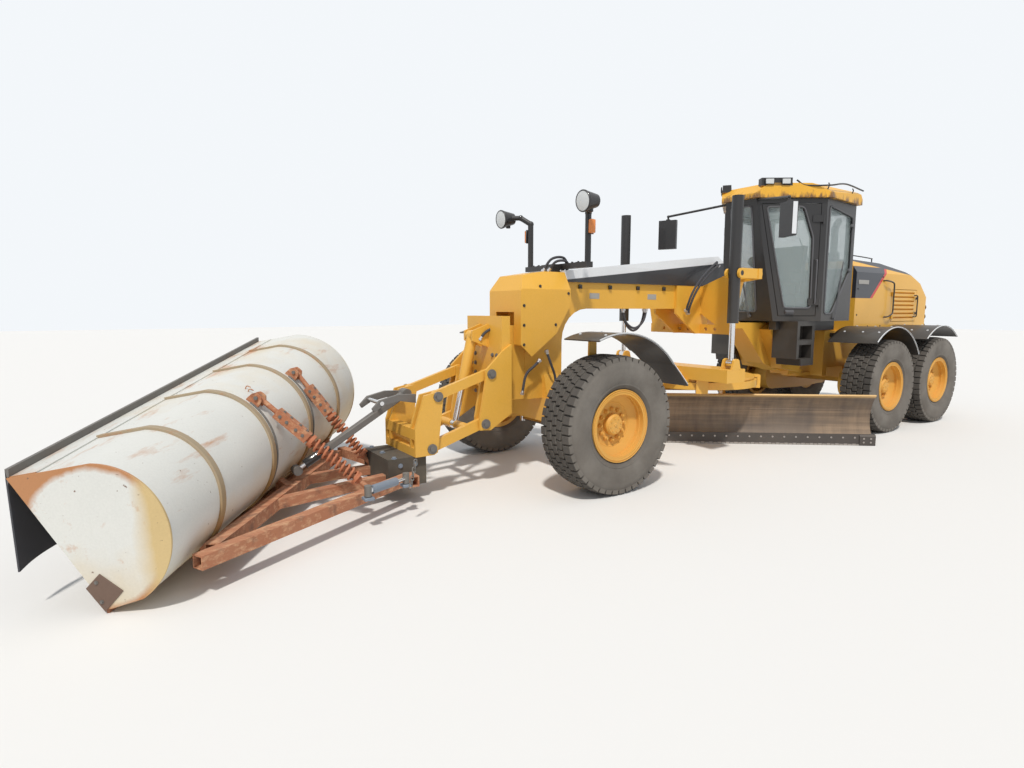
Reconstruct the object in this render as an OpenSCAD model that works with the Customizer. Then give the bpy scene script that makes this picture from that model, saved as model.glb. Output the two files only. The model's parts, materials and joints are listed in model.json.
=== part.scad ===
// Articulated motor grader with all-wheel drive, a front lift group and a one-way snow plow.
// Millimetres. +X is forward, +Y is the machine's left and +Z is up, with the ground at Z = 0.
// Inside place() the front axle is at X = 0 and the machine's centre plane is Y = 0.

/* [Wheels and axles] */
// Diameter of each tyre over its tread
tyre_d = 1350; // [1280:10:1400]
// Width of each tyre
tyre_w = 445; // [400:5:460]
// Thickness of the tyre's wall and tread band
tyre_wall = 38; // [28:2:50]
// Diameter over a rim's flanges
rim_d = 705; // [660:5:740]
// Width of a rim between its flanges
rim_w = 372; // [330:2:390]
// Distance between the tyres' centre planes
track = 2140; // [2100:10:2240]
// Front axle to the middle of the tandems
wheelbase = 6123; // [6000:10:6300]
// Distance between the two axles of a tandem
tandem_spacing = 1523; // [1480:5:1600]
// Distance of each kingpin from the centre plane
kingpin_y = 750; // [700:5:760]
// Length of a steering arm, from kingpin to tie rod
steer_arm = 260; // [240:5:290]

/* [Frame] */
// Width of the main beam
beam_w = 305; // [280:5:340]
// Height of the main beam
beam_h = 290; // [260:5:320]
// Underside of the main beam above the axle centres
beam_rise = 1115; // [1080:5:1160]
// Front axle back to the articulation pin
hitch_back = 4880; // [4850:5:4900]
// Diameter of the articulation pins
hitch_pin_d = 110; // [90:2:130]
// Front axle back to the rear bumper's face
tail_back = 8030; // [7980:5:8120]
// Diameter of the bore for a tow pin in the rear bumper
tow_bore_d = 52; // [40:1:60]

/* [Cab] */
// Cab floor above the axle centres
floor_rise = 945; // [930:5:980]
// Height of the cab's walls
cab_h = 1660; // [1600:5:1700]
// Half width at the front posts
cab_front_half = 210; // [190:5:240]
// Half width at the door hinges
cab_mid_half = 800; // [780:5:820]
// Half width at the rear posts
cab_rear_half = 700; // [660:5:710]
// Front axle back to the head of the windscreen
cab_front_back = 3420; // [3400:5:3460]
// Front axle back to the door hinges
cab_mid_back = 4200; // [4150:5:4240]
// Front axle back to the cab's rear wall
cab_rear_back = 5150; // [5100:5:5160]
// How far the foot of the windscreen lies behind its head
screen_lean = 250; // [220:5:280]
// Thickness of the cab's walls and doors
cab_wall = 50; // [40:1:60]
// Height of the roof cap
roof_h = 190; // [160:5:220]
// Gap round each door
door_gap = 8; // [6:1:12]
// Thickness of the window glass
glass_t = 8; // [6:1:10]

/* [Engine enclosure] */
// Half width of the enclosure
hood_half = 560; // [530:5:590]
// Front axle back to the enclosure's front
hood_front_back = 5570; // [5560:5:5620]
// Height of the enclosure's front above the axle centres
hood_rise = 1880; // [1800:5:1920]

/* [Blade] */
// Length of the moldboard
blade_l = 3660; // [3500:10:3700]
// Chord of the moldboard's curve
blade_chord = 610; // [580:5:640]
// Radius of the moldboard's front face
blade_r = 413; // [400:1:450]
// Thickness of the moldboard
blade_t = 22; // [16:1:26]
// Height of the cutting edge
edge_h = 152; // [140:2:160]
// Thickness of the cutting edge
edge_t = 16; // [13:1:25]
// Angle that the blade is turned from square, as it is parked
blade_turn = 52; // [45:1:56]
// Side shift of the blade, as it is parked
blade_shift = 460; // [300:10:480]
// Outer diameter of the toothed circle
circle_d = 1553; // [1500:5:1600]
// Height of the circle's ring
circle_h = 90; // [80:2:96]
// Front axle back to the circle's centre
circle_back = 2600; // [2580:5:2640]
// Number of teeth inside the circle
circle_teeth = 64; // [48:2:72]
// Distance of the lift cylinders from the centre plane
lift_y = 900; // [880:5:920]
// Front axle back to the lift cylinders
lift_back = 2120; // [2100:5:2150]
// Outer diameter of a lift cylinder's barrel
lift_barrel_d = 132; // [110:2:140]
// Diameter of a lift cylinder's rod
lift_rod_d = 64; // [50:2:70]

/* [Plow] */
// Length of the plow's cutting edge
plow_l = 3660; // [3500:10:3700]
// Angle of the plow from square
plow_angle = 35; // [30:1:36]
// Radius of the roll at the low left end
roll_r_low = 430; // [400:5:460]
// Radius of the roll at the high right end
roll_r_high = 635; // [600:5:650]
// Thickness of the plow's sheet
plow_t = 10; // [8:1:14]
// Number of ribs round the plow's back
plow_ribs = 4; // [3:1:6]
// Side of the push frame's square tubes
push_tube = 100; // [90:2:120]
// Wall of the push frame's square tubes
push_wall = 10; // [6:1:14]
// Outer diameter of a trip spring
spring_d = 118; // [104:2:126]
// Wire of a trip spring
spring_wire = 20; // [14:1:24]

/* [Hidden] */
$fn = 48;

// The origin is on the ground, under the middle of the whole machine's box
origin_back = 1790;
origin_side = -290;

// Clearances: a face against a face, a pin in its bore, and pieces that pass each other
seat_gap = 0.3;
pin_gap = 0.05;
pass_gap = 6;

// Axles and wheels
axle_z = tyre_d / 2;
mid_x = -wheelbase + tandem_spacing / 2;
rear_x = -wheelbase - tandem_spacing / 2;
rim_seat_r = rim_d / 2 - 34;
rim_wall = 14;
tyre_in_y = track / 2 - tyre_w / 2;
hub_r = 165;
spindle_r = 70;
kingpin_r = 26;
knuckle_h = 216;
ear_h = 45;
tie_pin_r = 14;

// Main beam and the pieces on it
beam_z = axle_z + beam_rise;
beam_top = beam_z + beam_h;
column_rear = -150;
nose_top = axle_z + 1505;
column_front = 350;
saddle_rear = -2640;
pit_rear = -3370;
pit_z = axle_z + 845;
ball_x = -330;
ball_z = axle_z + 250;
ball_r = 62;
ball_pin_r = 30;
hitch_x = -hitch_back;
hitch_top_z = axle_z + 600;
hitch_low_z = axle_z + 190;
hitch_plate = 60;
link_x = -2450;
link_z = axle_z + 855;
trunnion_z = axle_z + 1525;
trunnion_r = 30;

// Cab
floor_z = axle_z + floor_rise;
wall_top = floor_z + cab_h;
cab_mid_x = -cab_mid_back;
cab_rear_x = -cab_rear_back;
sill_z = floor_z + 70;
header_z = wall_top - 70;

// Engine enclosure
hood_x = -hood_front_back;
hood_z = axle_z + hood_rise;
hood_low_z = axle_z + 775;
tail_x = -tail_back;

// Blade: local +X is the cutting side, local +Y the heel, with the circle's axis at the origin
circle_x = -circle_back;
ring_z = blade_chord + 180;
ring_top = ring_z + circle_h;
ring_r = circle_d / 2;
ring_in_r = ring_r - 130;
edge_x = 198;
arc_low = 45;
arc_mid = arc_low + blade_chord / 2;
arc_x = edge_x + sqrt(blade_r * blade_r - blade_chord * blade_chord / 4);
back_r = blade_r + blade_t;
rail_x = 10;
rail_h = 60;
rail_z = [arc_mid - 180, arc_mid + 100];
tip_x = -60;
tip_z = arc_mid - 120;
tip_r = 28;
shift_z = arc_mid + 60;
shift_x = -45;
shift_r = 45;
shift_rod_r = 24;
carrier_y = 400;
arm_y = 470;
plate_gap = 8;
plate_z = ring_top + plate_gap;
plate_t = 34;
yoke_z = plate_z + plate_t + 30;
yoke_h = 125;
rod_eye_z = yoke_z + yoke_h + 75;
eye_half = 46;

// Front lift group: pins of the two pairs of arms, X and Z
lower_back = [970, axle_z - 15];
upper_back = [900, axle_z + 475];
lower_front = [1550, 480];
arm_step = lower_front - lower_back;
upper_front = upper_back + arm_step;
base_half = 370;
arm_half = 310;
arm_t = 40;
arm_pin_r = 25;
lift_top = [900, axle_z + 840];
lift_eye = lower_back + 0.25 * arm_step;
plow_barrel_r = 55;
plow_rod_r = 30;

// Plow: local +X is the cutting side, local +Y runs to the low left end, at the left end's edge
plow_tip = [4110, 1250];
low_c = [40, 460];
high_c = [200, 840];
low_lip = [530, 800];
high_lip = [660, 1390];
roll_from = 235;

yellow = [0.87, 0.60, 0.12];
black = [0.07, 0.07, 0.08];
steel = [0.55, 0.55, 0.56];
rust = [0.55, 0.26, 0.13];
cream = [0.86, 0.83, 0.74];
rubber = [0.13, 0.13, 0.13];
glass = [0.45, 0.55, 0.56, 0.4];

module place() { translate([origin_back, -origin_side, 0]) children(); }
module at_circle() { place() translate([circle_x, 0, 0]) rotate([0, 0, blade_turn]) children(); }
module at_plow() { place() translate([plow_tip[0], plow_tip[1],
  0]) rotate([0, 0, -plow_angle]) children(); }

// A box between two corners
module block(lo, hi) { translate(lo) cube(hi - lo); }
// An outline in X and Z, extruded from y0 to y1
module plate_xz(y0, y1) { translate([0, y1, 0]) rotate([90, 0, 0]) linear_extrude(y1 - y0) children(); }
// An outline in Y and Z, extruded from x0 to x1
module plate_yz(x0, x1) { translate([x0, 0, 0]) rotate([90, 0, 90]) linear_extrude(x1 - x0) children(); }
// An outline in X and Y, extruded from z0 to z1
module plate_xy(z0, z1) { translate([0, 0, z0]) linear_extrude(z1 - z0) children(); }
// A round bar along Y, centred on the point p
module bar_y(p, r, w) { translate(p) rotate([90, 0, 0]) cylinder(r = r, h = w, center = true); }
// A round bar along X, centred on the point p
module bar_x(p, r, w) { translate(p) rotate([0, 90, 0]) cylinder(r = r, h = w, center = true); }
// Children turned so that their Z axis runs from a to b
module along(a, b) {
  v = b - a;
  translate(a) rotate([0, acos(v[2] / norm(v)), atan2(v[1], v[0])]) children();
}
// A round bar from a to b
module rod(a, b, r) { along(a, b) cylinder(r = r, h = norm(b - a)); }
// A square tube from a to b, open at its ends
module square_tube(a, b, side, wall) {
  along(a, b) linear_extrude(norm(b - a)) difference() {
    square(side, center = true);
    square(side - 2 * wall, center = true);
  }
}
// A flat link outline between two round ends
module link_2d(a, b, r) {
  v = b - a;
  translate(a) circle(r = r);
  translate(b) circle(r = r);
  translate(a) rotate(atan2(v[1], v[0])) translate([0, -r]) square([norm(v), 2 * r]);
}
// A ring sector outline round the point c, from angle a to angle b
module arc_2d(c, r_in, r_out, a, b) {
  reach = 2 * r_out;
  steps = [for (i = [0 : 6]) a + (b - a) * i / 6];
  translate(c) intersection() {
    difference() {
      circle(r = r_out, $fn = 96);
      circle(r = r_in, $fn = 96);
    }
    polygon(concat([[0, 0]], [for (s = steps) reach * [cos(s), sin(s)]]));
  }
}
module both() {
  children();
  mirror([0, 1, 0]) children();
}
// A wheel's own frame: its axle along Y, its outer face towards side
module at_wheel(x, side) {
  place() translate([x, side * track / 2, axle_z]) mirror([0, side < 0 ? 1 : 0, 0]) children();
}

// Tyre and rim
function tyre_outline() = let (r = tyre_d / 2, w = tyre_w / 2) [
  [rim_seat_r + seat_gap, -rim_w / 2 + rim_wall + seat_gap],
    [rim_d / 2 + 4, -rim_w / 2 + rim_wall + seat_gap],
  [rim_seat_r + 70, -w + 16], [r - 150, -w],
  [r - 62, -w + 10], [r - 12, -w + 34], [r, -w + 62], [r, w - 62], [r - 12, w - 34],
  [r - 62, w - 10], [r - 150, w], [rim_seat_r + 70, w - 16],
    [rim_d / 2 + 4, rim_w / 2 - rim_wall - seat_gap],
  [rim_seat_r + seat_gap, rim_w / 2 - rim_wall - seat_gap]];
function tyre_cavity() = let (r = tyre_d / 2 - tyre_wall - 14, w = tyre_w / 2 - tyre_wall) [
  [rim_seat_r - 1, -rim_w / 2 + rim_wall + tyre_wall], [rim_seat_r + 70, -w], [r - 90, -w], [r, -w + 50],
  [r, w - 50], [r - 90, w], [rim_seat_r + 70, w], [rim_seat_r - 1, rim_w / 2 - rim_wall - tyre_wall]];
module tyre() {
  color(rubber) rotate([90, 0, 0]) rotate_extrude($fn = 96) difference() {
    polygon(tyre_outline());
    polygon(tyre_cavity());
  }
}
rim_disc = 30;
module rim() {
  half = rim_w / 2;
  disc = rim_disc;
  bowl = rim_seat_r - rim_wall;
  color(yellow) difference() {
    union() {
      rotate([-90, 0, 0]) rotate_extrude($fn = 96) {
        polygon([[bowl, -half], [rim_d / 2, -half], [rim_d / 2, rim_wall - half],
          [rim_seat_r, rim_wall - half],
          [rim_seat_r, half - rim_wall], [rim_d / 2, half - rim_wall], [rim_d / 2, half], [bowl, half]]);
        polygon([[0, disc], [hub_r + 50, disc], [bowl + 1, disc + 46], [bowl + 1, disc + 64],
          [hub_r + 44, disc + 20], [0, disc + 20]]);
        polygon([[0, disc + 10], [hub_r - 62, disc + 10], [hub_r - 62, disc + 62], [hub_r - 80, disc + 84],
          [0, disc + 84]]);
        polygon([[spindle_r + pin_gap, disc - 60], [spindle_r + 45, disc - 60], [spindle_r + 45, disc + 1],
          [spindle_r + pin_gap, disc + 1]]);
      }
      for (i = [0 : 11]) rotate([0, i * 30, 0]) bar_y([hub_r - 14, disc + 30, 0], 14, 44);
    }
  }
}

// Front frame: nose, beam, drop under the cab and the two hitch plates
module beam_side() {
  polygon(concat(
    [[column_front, axle_z + 150], [column_front, axle_z + 1150], [column_front - 330, beam_top],
     [saddle_rear + 20, beam_top], [-3320, floor_z - 25], [hitch_x + 260, floor_z - 25],
     [hitch_x + 180, hitch_top_z], [hitch_x + 180, hitch_low_z], [-4350, axle_z + 190],
       [-3900, axle_z + 330],
     [pit_rear - 100, pit_z - 90], [pit_rear, pit_z], [-3050, pit_z], [saddle_rear + 80, beam_z]],
    [for (i = [0 : 6]) let (a = 90 - i * 15) [column_rear - 350 + 350 * cos(a),
      beam_z - 350 + 350 * sin(a)]],
    [[column_rear, axle_z + 150]]));
}
module hitch_plates() {
  for (z = [hitch_top_z, hitch_low_z]) plate_xy(z - hitch_plate, z) {
    translate([hitch_x, 0]) circle(r = 150);
    translate([hitch_x, -150]) square([330, 300]);
  }
}
module main_frame() {
  place() color(yellow) difference() {
    union() {
      plate_xz(-beam_w / 2, beam_w / 2) beam_side();
      plate_yz(-95, 95) polygon([[-230, axle_z + 150], [230, axle_z + 150], [150, axle_z + 420],
        [-150, axle_z + 420]]);
      block([ball_x + 2, -95, ball_z - 100], [column_rear + 1, 95, ball_z + 100]);
      hitch_plates();
      both() plate_xz(beam_w / 2 - 1, 330) polygon([[hitch_x + 330, hitch_low_z],
        [hitch_x + 330, floor_z - 25],
        [-4000, floor_z - 25], [-3760, floor_z - 120], [-4100, axle_z + 260]]);
    }
    translate([ball_x, 0, ball_z]) sphere(r = ball_r + seat_gap);
    bar_y([ball_x, 0, ball_z], ball_pin_r + pin_gap, 400);
    for (z = [hitch_top_z, hitch_low_z]) translate([hitch_x, 0, z - hitch_plate - 1])
      cylinder(r = hitch_pin_d / 2, h = hitch_plate + 2);
  }
}

// Saddle that carries the blade lift: side plates, link bar with its row of holes, lift arms and forks
module lift_arm_2d() {
  polygon([[beam_w / 2, trunnion_z - 140], [700, trunnion_z + 60], [lift_y + 110, trunnion_z + 60],
    [lift_y + 110, trunnion_z - 60], [760, trunnion_z - 90], [640, link_z + 40], [600, link_z - 50],
    [500, link_z - 50], [460, link_z + 40], [beam_w / 2, beam_z - 40]]);
}
module lift_saddle() {
  fork = lift_barrel_d / 2 + pass_gap;
  place() color(yellow) difference() {
    union() {
      both() {
        plate_xz(beam_w / 2 + seat_gap, beam_w / 2 + 34) polygon([[-1960, beam_top], [-2600, beam_top],
          [-2560, link_z - 60], [-2340, link_z - 60], [-1960, beam_z - 60]]);
        plate_yz(link_x - 40, link_x + 30) intersection() {
          lift_arm_2d();
          translate([beam_w / 2 + 20, 0]) square([2000, 4000]);
        }
        for (y = [lift_y - fork - 30, lift_y + fork]) plate_xz(y, y + 30)
          link_2d([link_x, trunnion_z], [-lift_back, trunnion_z], 58);
      }
      block([link_x - 30, -660, link_z - 60], [link_x + 30, 660, link_z + 60]);
    }
    for (i = [-3 : 3]) bar_x([link_x, i * 140, link_z], 24, 100);
    both() bar_y([-lift_back, lift_y, trunnion_z], trunnion_r + pin_gap, 400);
  }
}

// Cover over the hoses on the beam
module frame_hood() {
  place() color(black) intersection() {
    plate_xz(-300, 300) polygon([[-150.3, beam_top + seat_gap], [-150.3, beam_top + 120],
      [-2300, beam_top + 350],
      [-2760, beam_top + 395], [-2860, beam_top + 330], [-2880, beam_top + seat_gap]]);
    plate_yz(-3000, 0) polygon([[-190, beam_top], [-190, beam_top + 190], [-150, beam_top + 600],
      [150, beam_top + 600], [190, beam_top + 190], [190, beam_top]]);
  }
}

// Faceted shroud round the nose
module nose_shroud() {
  top = nose_top;
  wall = 12;
  place() color(yellow) difference() {
    intersection() {
      plate_xz(-300, 300) polygon([[500, axle_z + 745], [500, axle_z + 1300], [420, top - 45], [130, top],
        [-150, top], [-150, axle_z + 1150], [40, axle_z + 850], [360, axle_z + 620]]);
      plate_yz(-200, 600) polygon([[-300, 0], [-300, top - 190], [-190, top + 1], [190, top + 1],
        [300, top - 190], [300, 0]]);
    }
    intersection() {
      plate_xz(-300, 300) polygon([[500 - wall, axle_z + 500], [500 - wall, axle_z + 1290],
        [420 - wall, top - 45 - wall], [130, top - wall], [-300, top - wall], [-300, axle_z + 500]]);
      plate_yz(-400, 700) polygon([[-300 + wall, 0], [-300 + wall, top - 190], [-190 + wall, top - wall],
        [190 - wall, top - wall], [300 - wall, top - 190], [300 - wall, 0]]);
    }
    block([400, -175, axle_z + 400], [700, 175, axle_z + 1080]);
  }
}

// Mast of the front lift group, bolted to the nose
module hitch_base() {
  place() color(yellow) difference() {
    union() {
      block([column_front + seat_gap, -150, axle_z + 160], [700, 150, axle_z + 940]);
      block([660, -base_half + 30, axle_z + 300], [760, base_half - 30, axle_z + 1040]);
      both() plate_xz(base_half - 30, base_half) polygon([[660, axle_z + 760], [760, axle_z + 700],
        [upper_back[0] + 60, upper_back[1] + 40], [upper_back[0] + 60, upper_back[1] - 50],
        [lower_back[0] + 60, lower_back[1] + 60], [lower_back[0] + 60, lower_back[1] - 60],
        [lower_back[0] - 60, lower_back[1] - 70], [660, axle_z + 60]]);
      both() plate_xz(arm_half - arm_t - 40, arm_half - arm_t - pass_gap) polygon([[660, axle_z + 500],
        [upper_back[0] + 50, upper_back[1] + 30], [upper_back[0] + 50, upper_back[1] - 50],
        [lower_back[0] + 50, lower_back[1] + 60], [lower_back[0] + 50, lower_back[1] - 60],
          [660, axle_z + 120]]);
      both() plate_xz(plow_barrel_r + pass_gap, plow_barrel_r + pass_gap + 25) polygon([[700, axle_z + 700],
        [lift_top[0] + 50, lift_top[1] - 50], [lift_top[0] + 50, lift_top[1] + 50], [700, axle_z + 980]]);
    }
    for (p = [upper_back, lower_back]) bar_y([p[0], 0, p[1]], arm_pin_r + pin_gap, 2000);
    bar_y([lift_top[0], 0, lift_top[1]], arm_pin_r + pin_gap, 400);
  }
}

// Head lamps on bent posts, work lamps and mirrors
module lamp_post() {
  foot = [-200, 510, beam_top + 150];
  neck = [-200, 510, beam_top + 690];
  bend = [-120, 600, beam_top + 765];
  lamp = [10, 735, beam_top + 768];
  rod(foot, neck, 32);
  translate(neck) sphere(r = 36);
  rod(neck, bend, 30);
  translate(bend) sphere(r = 34);
  rod(bend, lamp, 28);
  along(lamp - [110, 0, 0], lamp + [55, 0, -16]) cylinder(r1 = 65, r2 = 105, h = 165);
}
module mirror_arm() {
  side = cab_front_half + 68 * tan(door_turn);
  root = [-cab_front_back - 28 + 2.9 * door_n[0], side + 2.9 * door_n[1], wall_top - 20];
  elbow = [-3040, 960, wall_top - 130];
  rod(root, elbow, 16);
  translate(elbow) sphere(r = 20);
  rod(elbow, elbow - [0, 0, 130], 14);
  translate(elbow - [0, 0, 265]) rotate([0, 0, -25]) block([-35, -130, -210], [35, 130, 210]);
}
module lamps_mirrors() {
  place() color(black) {
    both() {
      lamp_post();
      mirror_arm();
    }
    block([-240, -545, beam_top + 137], [-149, 545, beam_top + 195]);
    block([-150, -110, nose_top + seat_gap], [-60, 110, beam_top + 190]);
  }
}

// Hoses on the frame, each a tube of eight sides through its own points
function unit(v) = v / norm(v);
hose_r = 15;
module hose(points, ref) {
  m = len(points);
  n = 8;
  polyhedron(
    points = [for (i = [0 : m - 1])
      let (t = unit(points[min(i + 1, m - 1)] - points[max(i - 1, 0)]), u = unit(cross(t, ref)),
        v = cross(t, u))
      for (k = [0 : n - 1]) points[i] + hose_r * (cos(k * 360 / n) * u + sin(k * 360 / n) * v)],
    faces = concat([[for (k = [0 : n - 1]) k]], [[for (k = [n - 1 : -1 : 0]) (m - 1) * n + k]],
      [for (i = [0 : m - 2], k = [0 : n - 1]) [i * n + k, i * n + n + k, i * n + n + (k + 1) % n]],
      [for (i = [0 : m - 2], k = [0 : n - 1]) [i * n + k, i * n + n + (k + 1) % n, i * n + (k + 1) % n]]));
}
module hoses() {
  low = beam_z - seat_gap;
  plate_y = beam_w / 2 + 34 + seat_gap;
  place() color(rubber) {
    for (d = [0, 1]) {
      hose([for (q = [[0, 0], [0, -50], [34, -140], [105, -205], [190, -232], [275, -205], [346, -140],
        [380, -50], [380, 0]]) [-1110 - 60 * d - q[0] * (1 - 0.1 * d),
          115 - 55 * d, low + q[1] * (1 + 0.14 * d)]], [0, 1, 0]);
      hose([for (q = [[-2700, 196, 2380], [-2650, 240, 2392], [-2570, 290, 2380], [-2440, 325, 2320],
        [-2300, 335, 2225], [-2180, 335, 2120], [-2095, 325, 2000], [-2062, 300, 1890],
        [-2070, 262, 1805], [-2080, plate_y + 34, 1770], [-2080, plate_y, 1770]]) q - d * [34, 0, 34]],
          [0.2, 0.1, 1]);
    }
  }
}

// Front axle beam with a fork for each knuckle
module front_axle() {
  place() color(yellow) difference() {
    union() {
      plate_yz(-110, 110) polygon([[-kingpin_y + 90, axle_z - 90], [-300, axle_z - 110],
        [300, axle_z - 110],
        [kingpin_y - 90, axle_z - 90], [kingpin_y - 90, axle_z + 90], [230, axle_z + 150 - seat_gap],
        [-230, axle_z + 150 - seat_gap], [-kingpin_y + 90, axle_z + 90]]);
      both() {
        for (z = [knuckle_h / 2 + 4, -knuckle_h / 2 - 4 - ear_h]) translate([0, kingpin_y, axle_z + z])
          cylinder(r = 62, h = ear_h);
        for (z = [knuckle_h / 2 + 4, -knuckle_h / 2 - 4 - ear_h])
          block([-60, kingpin_y - 150, axle_z + z], [60, kingpin_y, axle_z + z + ear_h]);
        block([-60, kingpin_y - 160, axle_z - knuckle_h / 2 - 4 - ear_h],
          [60, kingpin_y - 80, axle_z + knuckle_h / 2 + 4 + ear_h]);
      }
    }
    both() translate([0, kingpin_y, 0]) cylinder(r = kingpin_r + pin_gap, h = 2 * axle_z);
  }
}

// Steering knuckle with its kingpin, spindle, hub motor and arms
arm_z = axle_z - knuckle_h / 2 - ear_h - 20;
module knuckle() {
  pin_top = axle_z + knuckle_h / 2 + ear_h + 20;
  spindle_end = track / 2 + rim_disc - seat_gap;
  color(yellow) {
    translate([0, kingpin_y, arm_z - 30]) cylinder(r = kingpin_r, h = pin_top - arm_z + 30);
    translate([0, kingpin_y, axle_z - knuckle_h / 2]) cylinder(r = 60, h = knuckle_h);
    bar_y([0, kingpin_y + 95, axle_z], 140, 50);
    bar_y([0, (kingpin_y + 60 + spindle_end) / 2, axle_z], spindle_r, spindle_end - kingpin_y - 60);
    plate_xy(arm_z - 30, arm_z) link_2d([0, kingpin_y], [-steer_arm, kingpin_y], 42);
    translate([-steer_arm, kingpin_y, arm_z - 105]) cylinder(r = tie_pin_r, h = 90);
    plate_xz(kingpin_y + 68, kingpin_y + 90) polygon([[-60, axle_z + 60], [60, axle_z + 60],
      [45, axle_z + fender_r - 2], [-45, axle_z + fender_r - 2]]);
  }
}
fender_r = 875;
fender_t = 12;
module front_fender() {
  c = [0, axle_z];
  tail = fender_r * [cos(140), sin(140)];
  in_y = kingpin_y + 42;
  out_y = track / 2 + tyre_w / 2;
  color(black) difference() {
    plate_xz(in_y, out_y) {
      arc_2d(c, fender_r, fender_r + fender_t, 68, 141);
      polygon([c + tail, c + tail * (fender_r + fender_t) / fender_r, [-905, axle_z + 335],
        [-892, axle_z + 326]]);
    }
    plate_xy(axle_z, 2 * axle_z) polygon([[-1000, in_y + 190], [-1000, in_y - 10], [-480, in_y - 10]]);
  }
}
module knuckle_left() { place() knuckle(); }
module knuckle_right() { place() mirror([0, 1, 0]) knuckle(); }
module fender_left() { place() front_fender(); }
module fender_right() { place() mirror([0, 1, 0]) front_fender(); }
module tie_rod() {
  place() color(steel) difference() {
    union() {
      bar_y([-steer_arm, 0, arm_z - 68], 22, 2 * kingpin_y);
      both() translate([-steer_arm, kingpin_y, arm_z - 101]) cylinder(r = 36, h = 65);
    }
    both() translate([-steer_arm, kingpin_y, 0]) cylinder(r = tie_pin_r + pin_gap, h = axle_z);
  }
}

// Cab: a shell whose plan widens to the door hinges and narrows again behind them
function cab_plan(t) = [[-cab_front_back + 40 - t, cab_front_half - t], [cab_mid_x, cab_mid_half - t],
  [cab_rear_x + t, cab_rear_half - t], [cab_rear_x + t, -cab_rear_half + t], [cab_mid_x, -cab_mid_half + t],
  [-cab_front_back + 40 - t, -cab_front_half + t]];
function cab_side(t) = [[-cab_front_back - screen_lean - t, floor_z + t],
  [-cab_front_back - t, wall_top - t],
  [cab_rear_x + t, wall_top - t], [cab_rear_x + t, floor_z + t]];
module cab_solid(t) {
  intersection() {
    plate_xy(floor_z - 1, wall_top + 1) polygon(cab_plan(t));
    plate_xz(-1000, 1000) polygon(cab_side(t));
  }
}
// Side zones cut by upright outlines: the door, the rear quarter window and the door's window
module door_zone(grow) {
  plate_xz(0, 1200) polygon([[-cab_front_back - screen_lean - 50 + grow, sill_z - grow],
    [-cab_front_back - 62 + grow, header_z + grow], [cab_mid_x + 60 - grow, header_z + grow],
    [cab_mid_x + 60 - grow, sill_z - grow]]);
}
module door_window() {
  plate_xz(0, 1200) polygon([[-cab_front_back - screen_lean - 112, sill_z + 110],
    [-cab_front_back - 122, header_z - 45], [cab_mid_x + 250, header_z - 45],
      [cab_mid_x + 135, header_z - 460],
    [cab_mid_x + 125, sill_z + 110]]);
}
module quarter_window() {
  plate_xz(0, 1200) polygon([[cab_mid_x - 85, sill_z + 30], [cab_mid_x - 85, header_z - 25],
    [cab_rear_x + 95, header_z - 110], [cab_rear_x + 90, floor_z + 740], [cab_mid_x - 310, sill_z + 30]]);
}
module screen_zone() {
  half = cab_front_half - 45;
  plate_yz(-cab_front_back - screen_lean - 400, -cab_front_back + 100) polygon([[-half, header_z - 20],
    [half, header_z - 20], [half, sill_z + 60], [-half, sill_z + 60]]);
}
module rear_zone() {
  block([cab_rear_x - 50, -cab_rear_half + 110, floor_z + 760],
    [cab_rear_x + 100, cab_rear_half - 110, header_z - 30]);
}
module cab_wall_solid() {
  difference() {
    cab_solid(0);
    cab_solid(cab_wall);
  }
}
module cab_shell() {
  place() color(black) both() for (z = hinge_z) plate_xy(z - 24, z - seat_gap)
    translate(door_axis) rotate(-door_turn) {
      circle(r = 13);
      translate([-12, -30]) square([24, 30]);
    }
  place() color(black) difference() {
    cab_wall_solid();
    both() {
      door_zone(0);
      quarter_window();
    }
    screen_zone();
    rear_zone();
  }
}
module pane(t) {
  difference() {
    cab_solid(t);
    cab_solid(t + glass_t);
  }
}
module cab_glass() {
  set_in = cab_wall / 2;
  place() color(glass) {
    both() intersection() {
      pane(set_in);
      quarter_window();
    }
    intersection() {
      pane(set_in);
      screen_zone();
    }
    intersection() {
      pane(set_in);
      rear_zone();
    }
  }
}
// The doors' slope in plan, and the hinge line that stands off the shell
door_turn = atan((cab_mid_half - cab_front_half) / (cab_mid_back - cab_front_back + 40));
door_n = [sin(door_turn), cos(door_turn)];
door_axis = [cab_mid_x + 40, cab_mid_half - 40 * tan(door_turn)] + 18 * door_n;
hinge_z = [sill_z + 150, header_z - 250];
module cab_door() {
  color(black) {
    difference() {
      intersection() {
        cab_wall_solid();
        door_zone(-door_gap);
      }
      door_window();
    }
    for (z = hinge_z) plate_xy(z, z + 90) translate(door_axis) rotate(-door_turn) {
      circle(r = 13);
      polygon([[-9, -9], [30, -9], [52, -32], [140, -40], [140, -8], [9, 10]]);
    }
  }
}
module door_pane() {
  color(glass) intersection() {
    pane(cab_wall / 2);
    door_window();
  }
}
module door_left() { place() cab_door(); }
module door_glass_left() { place() door_pane(); }
module door_right() { place() mirror([0, 1, 0]) cab_door(); }
module door_glass_right() { place() mirror([0, 1, 0]) door_pane(); }

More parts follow.
